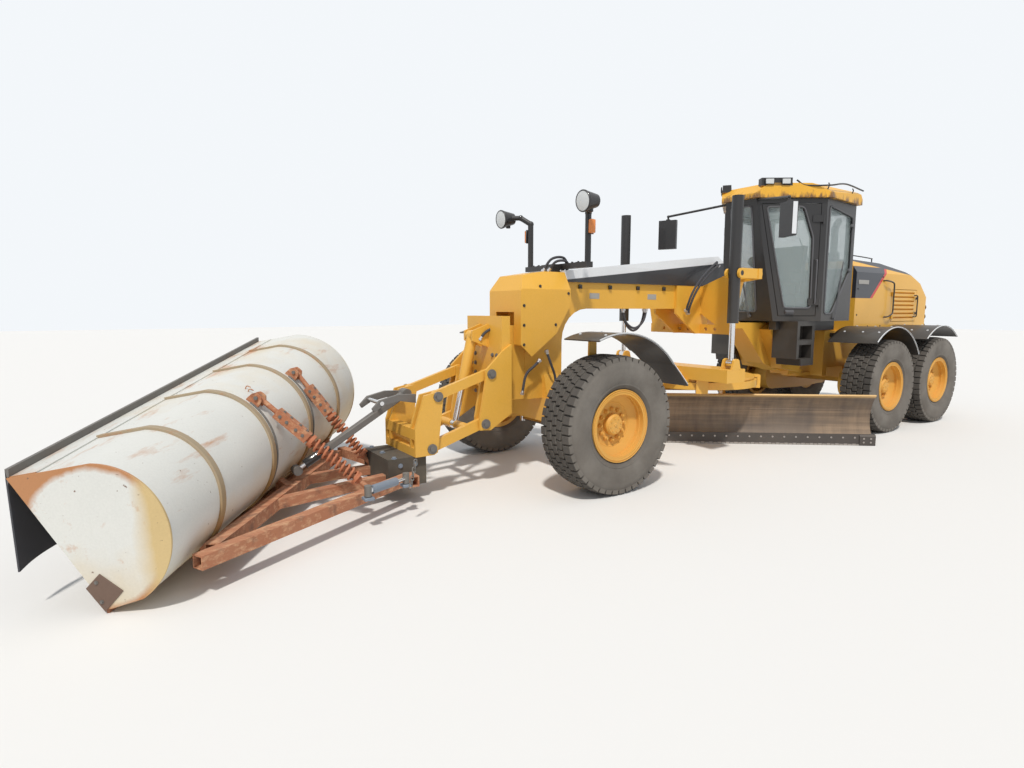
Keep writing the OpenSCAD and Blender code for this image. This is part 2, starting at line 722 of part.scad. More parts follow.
// Roof cap with a sloping front and sides
module cab_roof() {
  front = -cab_front_back + 60;
  rear = cab_rear_x - 60;
  top = wall_top + roof_h;
  out = cab_mid_half + 60;
  place() color(yellow) {
    intersection() {
      plate_xz(-1000, 1000) polygon([[front, wall_top + seat_gap], [front, wall_top + 60],
        [front - 150, top],
        [rear + 90, top - 20], [rear, wall_top + 80], [rear, wall_top + seat_gap]]);
      plate_xy(wall_top, top + 10) polygon([[front, cab_front_half + 60], [cab_mid_x, out],
        [rear, cab_rear_half + 50], [rear, -cab_rear_half - 50], [cab_mid_x, -out],
          [front, -cab_front_half - 60]]);
      plate_yz(rear - 10, front + 10) polygon([[-out - 40, wall_top - 10], [-out - 10, wall_top + 60],
        [-out + 170, top + 1], [out - 170, top + 1], [out + 10, wall_top + 60], [out + 40, wall_top - 10]]);
    }
    both() translate([-cab_front_back - 200, cab_front_half + 185, top]) rotate([0, 0, -35.5])
      block([-200, -70, -40], [210, 45, 65]);
  }
}

// Seat and steering console
module cab_interior() {
  deck = floor_z + cab_wall;
  place() color([0.16, 0.16, 0.17]) {
    block([-4560, -190, deck + seat_gap], [-4240, 190, deck + 330]);
    block([-4640, -260, deck + 330], [-4120, 260, deck + 470]);
    plate_xz(-250, 250) polygon([[-4640, deck + 440], [-4540, deck + 440], [-4640, deck + 1050],
      [-4730, deck + 1050]]);
    both() block([-4500, 290, deck + 520], [-4150, 370, deck + 640]);
    both() block([-4520, 255, deck + 360], [-4440, 330, deck + 540]);
    block([-3900, -110, deck + seat_gap], [-3775, 110, deck + 560]);
    rod([-3840, 0, deck + 540], [-3940, 0, deck + 760], 40);
    along([-3940, 0, deck + 760], [-3952, 0, deck + 782]) cylinder(r = 180, h = 25);
  }
}

// Mountings, tool boxes and steps under the cab
module cab_base() {
  top = floor_z - seat_gap;
  place() color(black) both() {
    difference() {
      plate_xz(330 + seat_gap, 700) polygon([[-4250, axle_z + 330], [-3945, axle_z + 330],
        [-3925, axle_z + 428],
        [-3820, axle_z + 428], [-3820, top], [-4250, top]]);
      for (z = [axle_z + 430, axle_z + 690]) block([-4180, 560, z], [-3880, 800, z + 190]);
    }
    block([-5080, 330 + seat_gap, floor_z - 140], [-4240, 520, top]);
    block([-3960, 330 + seat_gap, floor_z - 120], [-3720, 430, top]);
  }
}

// Rear frame: clevis at the articulation, rails, cross members and bumper with its tow bore
module rear_frame() {
  pin_r = hitch_pin_d / 2 - pin_gap;
  rail_top = hood_low_z - seat_gap;
  place() color(yellow) difference() {
    union() {
      for (z = [hitch_top_z + 4, hitch_low_z - hitch_plate - 46]) plate_xy(z, z + 42) {
        translate([hitch_x, 0]) circle(r = 140);
        translate([hitch_x - 420, -140]) square([420, 280]);
      }
      translate([hitch_x, 0, hitch_low_z - hitch_plate - 40]) cylinder(r = pin_r, h = hitch_plate + 50);
      translate([hitch_x, 0, hitch_top_z - hitch_plate - 10]) cylinder(r = pin_r, h = hitch_plate + 40);
      block([hitch_x - 420, -330, hitch_low_z - hitch_plate - 46], [hitch_x - 300, 330, rail_top]);
      both() block([tail_x + 60, 240, axle_z + 211], [hitch_x - 400, 330, rail_top]);
      block([-wheelbase - 200, -241, axle_z + 240], [-wheelbase + 200, 241, axle_z + 400]);
      block([tail_x, -520, axle_z + 130], [tail_x + 90, 520, axle_z + 700]);
      for (z = [180, 285]) block([tail_x - 100, -90, axle_z + z], [tail_x + 1, 90, axle_z + z + 35]);
    }
    translate([tail_x - 50, 0, axle_z]) cylinder(r = tow_bore_d / 2, h = 400);
  }
}

// Engine enclosure: a shell with a sloping top, open where its side doors sit
module hood_side() {
  polygon([[hood_x, hood_low_z], [hood_x, hood_z], [hood_x - 900, hood_z - 30],
    [hood_x - 1650, hood_z - 150],
    [hood_x - 2150, hood_z - 330], [tail_x + 40, hood_z - 560], [tail_x + 40, hood_low_z]]);
}
hood_wall = 30;
door_front = hood_x - 1170;
door_rear = hood_x - 2050;
module hood_inner() {
  block([tail_x + 130, -hood_half + hood_wall, hood_low_z - 1], [hood_x - hood_wall, hood_half - hood_wall,
    hood_z - 640]);
  block([door_rear - 100, -hood_half + hood_wall, hood_low_z - 1],
    [hood_x - hood_wall, hood_half - hood_wall,
    hood_z - 400]);
}
module side_door_zone(grow) {
  block([door_rear - grow, hood_half - hood_wall - 1, hood_low_z + 130 - grow],
    [door_front + grow, hood_half + 1, hood_z - 440 + grow]);
}
module engine_hood() {
  place() color(yellow) difference() {
    intersection() {
      plate_xz(-hood_half, hood_half) hood_side();
      plate_yz(tail_x, hood_x + 10) polygon([[-hood_half, 0], [-hood_half, hood_z - 200],
        [-hood_half + 130, hood_z + 1], [hood_half - 130, hood_z + 1], [hood_half, hood_z - 200],
          [hood_half, 0]]);
    }
    hood_inner();
    both() side_door_zone(0);
  }
}
engine_door_axis = [door_front + 6, hood_half + 14];
module engine_door() {
  slats = 7;
  pitch = 68;
  color(yellow) for (z = [hood_low_z + 180, hood_z - 560]) plate_xy(z, z + 70) {
    translate(engine_door_axis) circle(r = 13.7);
    polygon([engine_door_axis + [0, -12], engine_door_axis + [0, 10], engine_door_axis + [-60, -4],
      engine_door_axis + [-60, -15]]);
  }
  color(yellow) difference() {
    intersection() {
      side_door_zone(-door_gap);
      block([tail_x, hood_half - hood_wall, 0], [hood_x, hood_half, 3 * axle_z + hood_z]);
    }
    for (i = [0 : slats - 1]) translate([(door_front + door_rear) / 2, hood_half,
      hood_low_z + 200 + i * pitch])
      rotate([35, 0, 0]) cube([door_front - door_rear - 160, 60, 22], center = true);
  }
}
module engine_door_left() { place() engine_door(); }
module engine_door_right() { place() mirror([0, 1, 0]) engine_door(); }
module engine_block() {
  place() color([0.3, 0.3, 0.3]) block([-7150, -360, hood_low_z], [-5900, 360, hood_z - 650]);
}
module exhaust() {
  foot = [hood_x - 700, -200, hood_z - 20 + seat_gap];
  place() color(black) {
    rod(foot, foot + [0, 0, 200], 95);
    rod(foot + [0, 0, 199], foot + [0, 0, 620], 55);
    along(foot + [0, 0, 600], foot + [-110, 0, 740]) cylinder(r = 55, h = 178);
  }
}
module rear_grille() {
  bars = 9;
  low = axle_z + 720;
  place() color(black) {
    difference() {
      block([tail_x - 4, -430, low], [tail_x + 40 - seat_gap, 430, low + 560]);
      for (i = [0 : bars - 1]) block([tail_x - 5, -395, low + 40 + i * 55],
        [tail_x + 20, 395, low + 65 + i * 55]);
    }
  }
}

// Rear axle housing and the two tandem cases that carry the wheels
module tandem_axle() {
  case_in = tyre_in_y - 35 - 210;
  spindle_end = track / 2 + rim_disc - seat_gap;
  place() color(yellow) {
    bar_y([-wheelbase, 0, axle_z + 60], 150, 2 * case_in + 10);
    block([-wheelbase - 170, -230, axle_z], [-wheelbase + 170, 230, axle_z + 240 - seat_gap]);
    both() {
      plate_xz(case_in, case_in + 210) {
        for (x = [mid_x, rear_x]) translate([x, axle_z]) circle(r = 230);
        polygon([[mid_x + 60, axle_z - 222], [mid_x + 60, axle_z + 222], [-wheelbase, axle_z + 253],
          [rear_x - 60, axle_z + 222], [rear_x - 60, axle_z - 222], [-wheelbase, axle_z - 253]]);
      }
      for (x = [mid_x, rear_x]) {
        bar_y([x, case_in + 280, axle_z], 120, 160);
        bar_y([x, (case_in + 200 + spindle_end) / 2, axle_z], spindle_r, spindle_end - case_in - 200);
      }
    }
  }
}
module rear_fenders() {
  r = 850;
  place() color(black) both() {
    plate_xz(hood_half + 40, track / 2 + tyre_w / 2) {
      arc_2d([mid_x, axle_z], r, r + 10, 48, 150);
      arc_2d([rear_x, axle_z], r, r + 10, 50, 128);
    }
    for (x = [mid_x, rear_x]) {
      block([x - 30, 330 + seat_gap, hood_low_z - 90], [x + 30, hood_half + 80, hood_low_z - 30]);
      block([x - 30, hood_half + 40, hood_low_z - 90], [x + 30, hood_half + 80, axle_z + r + 2]);
    }
  }
}

// Drawbar: ball, tapered beam, plate over the circle, yoke for the lift rods and shoes under the ring
module drawbar() {
  shoe_r = ring_r + pass_gap;
  place() color(yellow) difference() {
    union() {
      translate([ball_x, 0, ball_z]) sphere(r = ball_r);
      bar_y([ball_x, 0, ball_z], ball_pin_r, 180);
      rod([ball_x, 0, ball_z], [ball_x - 130, 0, ball_z - 4], 38);
      intersection() {
        plate_xz(-400, 400) polygon([[ball_x - 100, ball_z + 55], [-1980, yoke_z + 60], [-1980, plate_z],
          [-1300, plate_z - 30], [ball_x - 100, ball_z - 60]]);
        plate_xy(0, 3 * axle_z) polygon([[ball_x - 100, 65], [-1980, 330], [-1980, -330],
          [ball_x - 100, -65]]);
      }
      plate_xy(plate_z, plate_z + plate_t) difference() {
        union() {
          translate([circle_x, 0]) circle(r = ring_r - 30);
          translate([circle_x, -420]) square([circle_back - 1900, 840]);
        }
        translate([circle_x, 0]) circle(r = 330);
      }
      block([-lift_back - 170, -980, yoke_z - 31], [-lift_back + 170, 980, yoke_z + yoke_h]);
      both() {
        for (side = [-1, 1]) plate_xz(lift_y + side * (eye_half + 22) - 14,
          lift_y + side * (eye_half + 22) + 14)
          polygon([[-lift_back - 80, yoke_z + yoke_h - 1], [-lift_back - 50, rod_eye_z + 30],
            [-lift_back - 20, rod_eye_z + 50], [-lift_back + 20, rod_eye_z + 50],
              [-lift_back + 50, rod_eye_z + 30],
            [-lift_back + 80, yoke_z + yoke_h - 1]]);
      }
      for (a = [45, 135, 225, 315]) translate([circle_x, 0, 0]) rotate([0, 0, a]) {
        block([shoe_r, -70, ring_z - 40], [shoe_r + 40, 70, plate_z + plate_t]);
        block([ring_r - 50, -70, ring_z - 40], [shoe_r + 1, 70, ring_z - seat_gap]);
        block([ring_r - 80, -70, plate_z + 1], [shoe_r + 40, 70, plate_z + plate_t]);
      }
    }
  }
}

// Circle: toothed ring with the two arms that carry the blade
module circle_part() {
  at_circle() color(yellow) {
    plate_xy(ring_z, ring_top) {
      difference() {
        circle(r = ring_r, $fn = 120);
        circle(r = ring_in_r + 26, $fn = 120);
      }
      for (i = [0 : circle_teeth - 1]) rotate(i * 360 / circle_teeth)
        polygon([[ring_in_r, -9], [ring_in_r, 9], [ring_in_r + 30, 18], [ring_in_r + 30, -18]]);
    }
    both() plate_xz(arm_y - 20, arm_y + 20) {
      translate([tip_x, tip_z]) circle(r = 55);
      polygon([[tip_x - 40, tip_z - 38], [tip_x + 36, tip_z + 40], [-420, ring_z + 2], [-518, ring_z + 2],
        [-518, ring_z - 120]]);
    }
    both() bar_y([tip_x, (carrier_y + arm_y) / 2 + 5, tip_z], tip_r, arm_y - carrier_y + 60);
    bar_y([-400, 0, ring_z - 110], 45, 2 * arm_y);
  }
}

// Carrier: two brackets on the tip pins, hooked over the rails, with the side shift barrel
module blade_carrier() {
  face = rail_x - 5;
  top = rail_z[1] + rail_h + 20;
  low = rail_z[0] - 20;
  barrel = [-350, 750];
  at_circle() color(yellow) difference() {
    union() {
      both() plate_xz(carrier_y - 20, carrier_y + 30) {
        translate([tip_x, tip_z]) circle(r = 50);
        polygon([[face, low], [face, top], [face - 60, top], [face - 110, tip_z + 60],
          [face - 110, tip_z - 30],
          [face - 70, low]]);
        for (z = [rail_z[1] + rail_h + 3, rail_z[0] - 20]) translate([face - 1, z]) square([40, 17]);
      }
      translate([shift_x, barrel[0], shift_z]) rotate([-90, 0, 0]) cylinder(r = shift_r,
        h = barrel[1] - barrel[0]);
      bar_y([tip_x, 0, tip_z], 40, 2 * carrier_y);
    }
    both() bar_y([tip_x, carrier_y + 10, tip_z], tip_r + pin_gap, 130);
    translate([shift_x, -carrier_y - 60, shift_z]) rotate([-90, 0, 0])
      cylinder(r = shift_rod_r + pin_gap, h = barrel[1] + carrier_y + 40);
  }
}

// Moldboard: a rolled plate with two rails, end plates' bolts left out, and the side shift rod
module moldboard() {
  half = blade_l / 2;
  rail_l = blade_l - 700;
  rod_from = -1450;
  span = asin(blade_chord / 2 / blade_r);
  at_circle() translate([0, blade_shift, 0]) color(yellow) {
    plate_xz(-half, half) arc_2d([arc_x, arc_mid], blade_r, back_r, 180 - span, 180 + span);
    for (z = rail_z) block([rail_x, -rail_l / 2, z], [80, rail_l / 2, z + rail_h]);
    block([shift_x - 30, rod_from, shift_z - 34], [60, rod_from + 40, shift_z + 34]);
    translate([shift_x, rod_from, shift_z]) rotate([-90, 0, 0]) cylinder(r = shift_rod_r, h = 1550);
  }
}
// Cutting edge and end bits in front of the moldboard's foot
module cutting_edge() {
  half = blade_l / 2;
  bit_w = 190;
  bit_t = 14;
  at_circle() translate([0, blade_shift, 0]) color(steel) {
    block([edge_x + seat_gap, -half - 6, 0], [edge_x + edge_t, half + 6, edge_h]);
    both() plate_xz(half - bit_w, half + 12) polygon([[edge_x + edge_t - 1, 2],
      [edge_x + edge_t + bit_t, 2],
      [edge_x + edge_t + bit_t, edge_h - 30], [edge_x + edge_t - 1, edge_h - 4]]);
  }
}

// Lift cylinders
module lift_barrels() {
  place() color(black) both() difference() {
    union() {
      translate([-lift_back, lift_y, axle_z + 945]) cylinder(r = lift_barrel_d / 2, h = 1460);
      bar_y([-lift_back, lift_y, trunnion_z], trunnion_r, lift_barrel_d + 2 * (pass_gap + 28));
    }
    translate([-lift_back, lift_y, axle_z + 944]) cylinder(r = lift_rod_d / 2 + pin_gap, h = 1400);
  }
}
module lift_rods() {
  place() color(steel) both() {
    translate([-lift_back, lift_y, rod_eye_z]) cylinder(r = lift_rod_d / 2, h = 1050);
    bar_y([-lift_back, lift_y, rod_eye_z], 45, 2 * eye_half - 12);
    bar_y([-lift_back, lift_y, rod_eye_z], 24, 2 * eye_half + 6);
  }
}

// Arms, coupler and lift cylinder of the front lift group
module plow_lower_arms() {
  place() color(yellow) difference() {
    union() {
      both() plate_xz(arm_half - arm_t, arm_half + 10) difference() {
        link_2d(lower_back, lower_front, 52);
      }
      both() for (p = [lower_back]) bar_y([p[0], arm_half, p[1]], arm_pin_r, 120);
      bar_y([lift_eye[0], 0, lift_eye[1]], 45, 2 * arm_half - 60);
    }
    bar_y([lift_eye[0], 0, lift_eye[1]], 60, 90);
    both() bar_y([lower_front[0], arm_half, lower_front[1]], arm_pin_r + pin_gap, 200);
  }
}
module plow_upper_arms() {
  place() color(yellow) both() difference() {
    union() {
      plate_xz(arm_half - arm_t, arm_half + 10) link_2d(upper_back, upper_front, 46);
      bar_y([upper_back[0], arm_half, upper_back[1]], arm_pin_r, 120);
    }
    bar_y([upper_front[0], arm_half, upper_front[1]], arm_pin_r + pin_gap, 200);
  }
}
module plow_coupler() {
  out = arm_half + 10 + pass_gap;
  place() color(yellow) {
    both() {
      for (y = [out, arm_half - arm_t - pass_gap - 30]) plate_xz(y, y + 30) polygon([
        [lower_front[0] - 60, lower_front[1] - 40], [upper_front[0] - 60, upper_front[1] + 10],
        [upper_front[0] - 30, upper_front[1] + 50], [upper_front[0] + 140, upper_front[1] + 20],
        [lower_front[0] + 170, lower_front[1] + 200], [lower_front[0] + 170, lower_front[1] - 60],
        [lower_front[0] - 20, lower_front[1] - 60]]);
      for (p = [lower_front, upper_front]) bar_y([p[0], out - 25, p[1]], arm_pin_r, 110);
    }
    block([lower_front[0] + 80, -out - 30, lower_front[1] + 100],
      [lower_front[0] + 170, out + 30, lower_front[1] + 200]);
    block([lower_front[0] + 70, -out - 30, lower_front[1] - 60],
      [lower_front[0] + 170, out + 30, lower_front[1] + 20]);
  }
}
module plow_barrel() {
  place() color(yellow) difference() {
    union() {
      rod([lift_top[0], 0, lift_top[1]], mix([lift_eye[0], 0, lift_eye[1]], [lift_top[0],
        0, lift_top[1]], 0.5),
        plow_barrel_r);
      bar_y([lift_top[0], 0, lift_top[1]], plow_barrel_r, 2 * plow_barrel_r);
      bar_y([lift_top[0], 0, lift_top[1]], arm_pin_r, 2 * (plow_barrel_r + pass_gap + 24));
    }
    along([lift_eye[0], 0, lift_eye[1]], [lift_top[0], 0, lift_top[1]]) translate([0, 0, 60])
      cylinder(r = plow_rod_r + pin_gap, h = 760);
  }
}
module plow_rod() {
  eye = [lift_eye[0], 0, lift_eye[1]];
  top = [lift_top[0], 0, lift_top[1]];
  place() color(steel) {
    rod(mix(eye, top, 0.03), mix(eye, top, 0.7), plow_rod_r);
    bar_y(eye, 42, 64);
    for (y = [-39.5, 30]) translate([0, y + 4.75, 0]) bar_y(eye, arm_pin_r, 9.5);
  }
}

// Push frame: square tubes from the coupler to the plow's back
function from_plow(p) = let (c = cos(plow_angle), s = sin(plow_angle))
  [plow_tip[0] + p[0] * c + p[1] * s, plow_tip[1] - p[0] * s + p[1] * c, p[2]];
function mix(a, b, t) = a + (b - a) * t;
push_z = 230;
push_rear = lower_front[0] + 240;
rail_near = from_plow([-430, -200, push_z]);
rail_far = from_plow([-430, -plow_l + 500, push_z]);
push_left = [push_rear, 330, push_z];
push_right = [push_rear, -330, push_z];
module push_frame() {
  left = push_left;
  right = push_right;
  place() color(rust) {
    square_tube(left, rail_near, push_tube - 8, push_wall);
    square_tube(right, rail_far, push_tube - 8, push_wall);
    square_tube([push_rear, -470, push_z], [push_rear, 470, push_z], push_tube, push_wall);
    square_tube(mix(rail_far, rail_near, 0.06), mix(rail_far, rail_near, 0.94), push_tube, push_wall);
    square_tube(left + [0, -150, 0], mix(rail_far, rail_near, 0.62), push_tube - 16, push_wall);
    square_tube(right + [0, 150, 0], mix(rail_far, rail_near, 0.38), push_tube - 16, push_wall);
    block([lower_front[0] + 40, -305, 150], [push_rear + 180, 305, lower_front[1] - 60 - seat_gap]);
    for (t = push_at) along(plow_back(t, roll_from - 10, 20), mix(rail_far, rail_near, 1 - t))
      linear_extrude(norm(mix(rail_far, rail_near, 1 - t) - plow_back(t, roll_from - 10, 20)))
        square([110, 60], center = true);
    for (i = [0, 1]) rod(spring_head(i), spring_foot[i], spring_rod_r);
    for (i = [0, 1]) square_tube(mix(spring_foot[i], spring_head(i), 0.56), mix(spring_foot[i],
      spring_head(i), 0.84),
      86, 22);
  }
}
spring_rod_r = 22;
push_at = [0.14, 0.5, 0.86];
spring_at = [0.42, 0.65];
spring_angle = 130;
spring_foot = [mix(push_left, rail_near, 0.25) + [0, 0, push_tube / 2 - 10],
  mix(push_right + [0, 150, 0], mix(rail_far, rail_near, 0.38), 0.2) + [0, 0, push_tube / 2 - 14]];
function spring_head(i) = plow_back(spring_at[i], spring_angle, 55);
function roll_c(t) = mix(low_c, high_c, t);
function roll_r(t) = mix(roll_r_low, roll_r_high, t);
// A point on the plow's back: t along it from the low end, angle a round the roll, out from the sheet
function plow_back(t, a, out) = let (c = roll_c(t), r = roll_r(t) + plow_t + out)
  from_plow([c[0] + r * cos(a), -t * plow_l, c[1] + r * sin(a)]);

// Plow shell: the outline of each end, joined by straight lines
arc_n = 14;
function shell_line(t, out) = let (c = roll_c(t), r = roll_r(t) + out, lip = mix(low_lip, high_lip, t))
  concat([[out > 0 ? -out : 0, 30]],
    [for (i = [0 : arc_n]) let (a = roll_from + (90 - roll_from) * i / arc_n) c + r * [cos(a), sin(a)]],
    [lip + [0, out]]);
function end_ring(t) = let (outer = shell_line(t, plow_t), inner = shell_line(t, 0), n = len(outer))
  [for (i = [0 : n - 1]) [outer[i][0], -t * plow_l, outer[i][1]],
   for (i = [n - 1 : -1 : 0]) [inner[i][0], -t * plow_l, inner[i][1]]];
module plow_shell() {
  n = 2 * (arc_n + 3);
  half = n / 2;
  at_plow() color(cream) {
    polyhedron(points = concat(end_ring(0), end_ring(1)),
      faces = concat(
        [for (i = [0 : n - 1]) let (j = (i + 1) % n) [j + n, i + n, i]],
        [for (i = [0 : n - 1]) let (j = (i + 1) % n) [j, j + n, i]],
        [for (i = [0 : half - 2]) [n - 2 - i, i + 1, i]],
        [for (i = [0 : half - 2]) [n - 1 - i, n - 2 - i, i]],
        [for (i = [0 : half - 2]) [n + i + 1, 2 * n - 2 - i, n + i]],
        [for (i = [0 : half - 2]) [2 * n - 2 - i, 2 * n - 1 - i, n + i]]));
  }
}
// Rubber deflector that hangs from the lip along the whole plow
module plow_flap() {
  drop = 550;
  t = 12;
  at_plow() color(rubber) polyhedron(points = [for (e = [0, 1]) let (q = mix(low_lip, high_lip, e),
    y = -e * plow_l)
    for (p = [[seat_gap, plow_t], [t, plow_t], [t, -drop], [seat_gap, -drop]]) [q[0] + p[0],
      y, q[1] + p[1]]],
    faces = [[3, 2, 1, 0], [4, 5, 6, 7], [0, 1, 5, 4], [1, 2, 6, 5], [2, 3, 7, 6], [3, 0, 4, 7]]);
}
// Bottom edge, ribs round the back and a plate at each end
module plow_frame() {
  at_plow() color(rust) {
    plate_xz(-plow_l, 0) polygon([[0, 0], [16, 0], [22, 60], [-180, 130], [-186, 118], [-2, 50]]);
    for (i = [0 : plow_ribs - 1]) let (t = 0.16 + 0.68 * i / (plow_ribs - 1), r = roll_r(t) + plow_t)
      let (a = roll_c(t) + [0, r], b = mix(a, mix(low_lip, high_lip, t) + [0, plow_t], 0.68))
        translate([0, -t * plow_l, 0]) plate_xz(-30, 30) {
          arc_2d(roll_c(t), r - 1, r + 16, 89, roll_from + 8);
          polygon([a + [0, -1], a + [0, 16], b + [0, 16], b + [0, -1]]);
        }
    for (i = [0, 1]) let (c = roll_c(spring_at[i]), r = roll_r(spring_at[i]))
      translate([c[0], -spring_at[i] * plow_l, c[1]]) rotate([0, -spring_angle, 0]) difference() {
        translate([r + plow_t - 2, -52, -50]) cube([82, 104, 100]);
        translate([r + plow_t + 20, -32, -60]) cube([90, 64, 120]);
      }
    plate_xz(seat_gap, plow_t) polygon(concat(shell_line(0, plow_t + 6), [[0, 30]]));
    plate_xz(-plow_l - plow_t, -plow_l - seat_gap) polygon(concat(shell_line(1, plow_t + 6), [[0, 30]]));
  }
}

// Trip springs: two coils on the push frame's rods
module coil(a, b, turns) {
  len = norm(b - a);
  pitch = len / turns;
  r = spring_d / 2 - spring_wire / 2;
  along(a, b) rotate_extrude() {
    translate([spring_rod_r + seat_gap, 0]) square([r - spring_wire / 2 + 2 - spring_rod_r, len]);
    for (i = [0 : turns - 1]) translate([r, (i + 0.5) * pitch]) circle(r = spring_wire / 2, $fn = 6);
  }
}
module trip_springs() {
  place() color(rust) for (i = [0, 1]) let (a = spring_foot[i], b = spring_head(i))
    coil(mix(a, b, 0.13), mix(a, b, 0.52), 10);
}

main_frame();
lift_saddle();
frame_hood();
nose_shroud();
hitch_base();
lamps_mirrors();
hoses();
front_axle();
cab_shell();
cab_roof();
cab_glass();
cab_interior();
cab_base();
knuckle_left();
fender_left();
knuckle_right();
fender_right();
tie_rod();
at_wheel(0, 1) tyre();  // tyre_front_left
at_wheel(0, 1) rim();  // rim_front_left
at_wheel(0, -1) tyre();  // tyre_front_right
at_wheel(0, -1) rim();  // rim_front_right
at_wheel(mid_x, 1) tyre();  // tyre_mid_left
at_wheel(mid_x, 1) rim();  // rim_mid_left
at_wheel(mid_x, -1) tyre();  // tyre_mid_right
at_wheel(mid_x, -1) rim();  // rim_mid_right
at_wheel(rear_x, 1) tyre();  // tyre_rear_left
at_wheel(rear_x, 1) rim();  // rim_rear_left
at_wheel(rear_x, -1) tyre();  // tyre_rear_right
at_wheel(rear_x, -1) rim();  // rim_rear_right
rear_frame();
engine_hood();
engine_block();
exhaust();
rear_grille();
tandem_axle();
rear_fenders();
engine_door_left();
engine_door_right();
drawbar();
circle_part();  // circle
blade_carrier();
moldboard();
cutting_edge();
lift_barrels();
lift_rods();
door_left();
door_glass_left();
door_right();
door_glass_right();
plow_lower_arms();
plow_upper_arms();
plow_coupler();
push_frame();
plow_shell();
plow_flap();
plow_frame();
trip_springs();
plow_barrel();
plow_rod();
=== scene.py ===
"""Looks of a motor grader with a one-way snow plow on its front lift."""
import json
import math

import bmesh
import bpy
from mathutils import Matrix, Vector


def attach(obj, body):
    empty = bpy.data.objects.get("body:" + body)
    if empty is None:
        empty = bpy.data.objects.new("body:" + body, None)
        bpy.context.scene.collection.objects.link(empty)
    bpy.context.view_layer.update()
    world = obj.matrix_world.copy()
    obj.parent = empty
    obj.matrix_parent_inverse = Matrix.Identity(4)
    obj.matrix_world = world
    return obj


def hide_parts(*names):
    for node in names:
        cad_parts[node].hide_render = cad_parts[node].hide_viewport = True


bl_info = {
    "name": "Motor grader looks",
    "version": (1, 0, 0),
    "blender": (4, 5, 0),
    "location": "View3D > Sidebar > Grader",
    "description": "Tread, glass, hoses, lamps and finishes for a motor grader with a snow plow",
    "category": "Object",
}

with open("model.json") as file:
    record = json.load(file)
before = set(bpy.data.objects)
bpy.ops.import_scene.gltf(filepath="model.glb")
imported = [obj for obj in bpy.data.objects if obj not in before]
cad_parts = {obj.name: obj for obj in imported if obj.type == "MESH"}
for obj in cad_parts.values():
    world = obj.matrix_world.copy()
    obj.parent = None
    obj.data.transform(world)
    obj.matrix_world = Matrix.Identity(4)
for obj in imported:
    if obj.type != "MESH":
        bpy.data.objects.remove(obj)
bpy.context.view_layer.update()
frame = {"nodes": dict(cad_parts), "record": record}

# Places are in metres from the ground under the front axle's middle, which AT_MACHINE puts into the
# row frame; the plow and the blade have frames of their own. The plow runs along -Y from its low left
# end, and its roll has a centre and a radius at either end
ORIGIN = Vector((1.790, 0.290, 0.0))
AXLE_Z = 0.675
TRACK = 1.070
WHEEL_X = {"front": 0.0, "mid": -5.3615, "rear": -6.8845}
BLADE_TURN = math.radians(52)
BLADE_SHIFT = 0.460
BLADE_HALF = 1.830
EDGE_FACE = 0.214
CIRCLE = Vector((-2.600, 0.0, 0.0))
PLOW_TIP = Vector((4.110, 1.250, 0.0))
PLOW_TURN = math.radians(-35)
PLOW_L = 3.660
PLOW_T = 0.010
ROLL_LOW = (Vector((0.040, 0.460)), 0.430)
ROLL_HIGH = (Vector((0.200, 0.840)), 0.635)
LIP_LOW = Vector((0.530, 0.800))
LIP_HIGH = Vector((0.660, 1.390))
ROLL_FROM = 235
ROLL_STEPS = 40
TOP_STEPS = 12
FLAP_DROP = 0.560
RIBS = 4
SPRING_T = (0.42, 0.65)
SPRING_DEGREES = 130
SPRING_OUT = 0.055
BEAM_Z = 1.790
HOOD_HALF = 0.560
TAIL_X = -8.034
SOFT_EDGE = 0.002
DOOR_SLOPE = math.radians(35.74)
VISOR = Vector((-3.62, 0.395, 3.484))
VISOR_WAY = Vector((0.8141, -0.5807, 0))
DOOR_WINDOW = ((-3.782, 1.80), (-3.542, 3.165), (-3.95, 3.165), (-4.065, 2.75), (-4.075, 1.80))
QUARTER_WINDOW = ((-4.285, 1.72), (-4.285, 3.185), (-5.055, 3.10), (-5.06, 2.36), (-4.51, 1.72))
SIDES = ((1, "left"), (-1, "right"))
ROW = Matrix.Identity(4)
AT_MACHINE = Matrix.Translation(ORIGIN)
AT_SIDE = {side: AT_MACHINE @ Matrix.Diagonal((1, side, 1, 1)) for side, _ in SIDES}
AT_CIRCLE = Matrix.Translation(ORIGIN + CIRCLE) @ Matrix.Rotation(BLADE_TURN, 4, "Z")
AT_PLOW = Matrix.Translation(ORIGIN + PLOW_TIP) @ Matrix.Rotation(PLOW_TURN, 4, "Z")


def machine(x, y, z):
    return ORIGIN + Vector((x, y, z))


def roll(t):
    """The plow's roll at t along it from its low left end: its centre in X and Z, and its radius."""
    return ROLL_LOW[0].lerp(ROLL_HIGH[0], t), ROLL_LOW[1] + (ROLL_HIGH[1] - ROLL_LOW[1]) * t


def round_y(degrees):
    """The unit vector at an angle round the Y axis, from X towards Z."""
    a = math.radians(degrees)
    return Vector((math.cos(a), 0, math.sin(a)))


def on_lip(t, share):
    """A place on the plow's lip plate, from the roll's top at share 0 to the lip at share 1."""
    c, r = roll(t)
    lip = LIP_LOW.lerp(LIP_HIGH, t)
    q = Vector((c.x, c.y + r)).lerp(lip, share)
    return Vector((q.x, -t * PLOW_L, q.y + PLOW_T))


def on_roll(t, degrees, out):
    """A place on the plow's back in the plow's frame, out from its sheet."""
    c, r = roll(t)
    return Vector((c.x, -t * PLOW_L, c.y)) + round_y(degrees) * (r + PLOW_T + out)


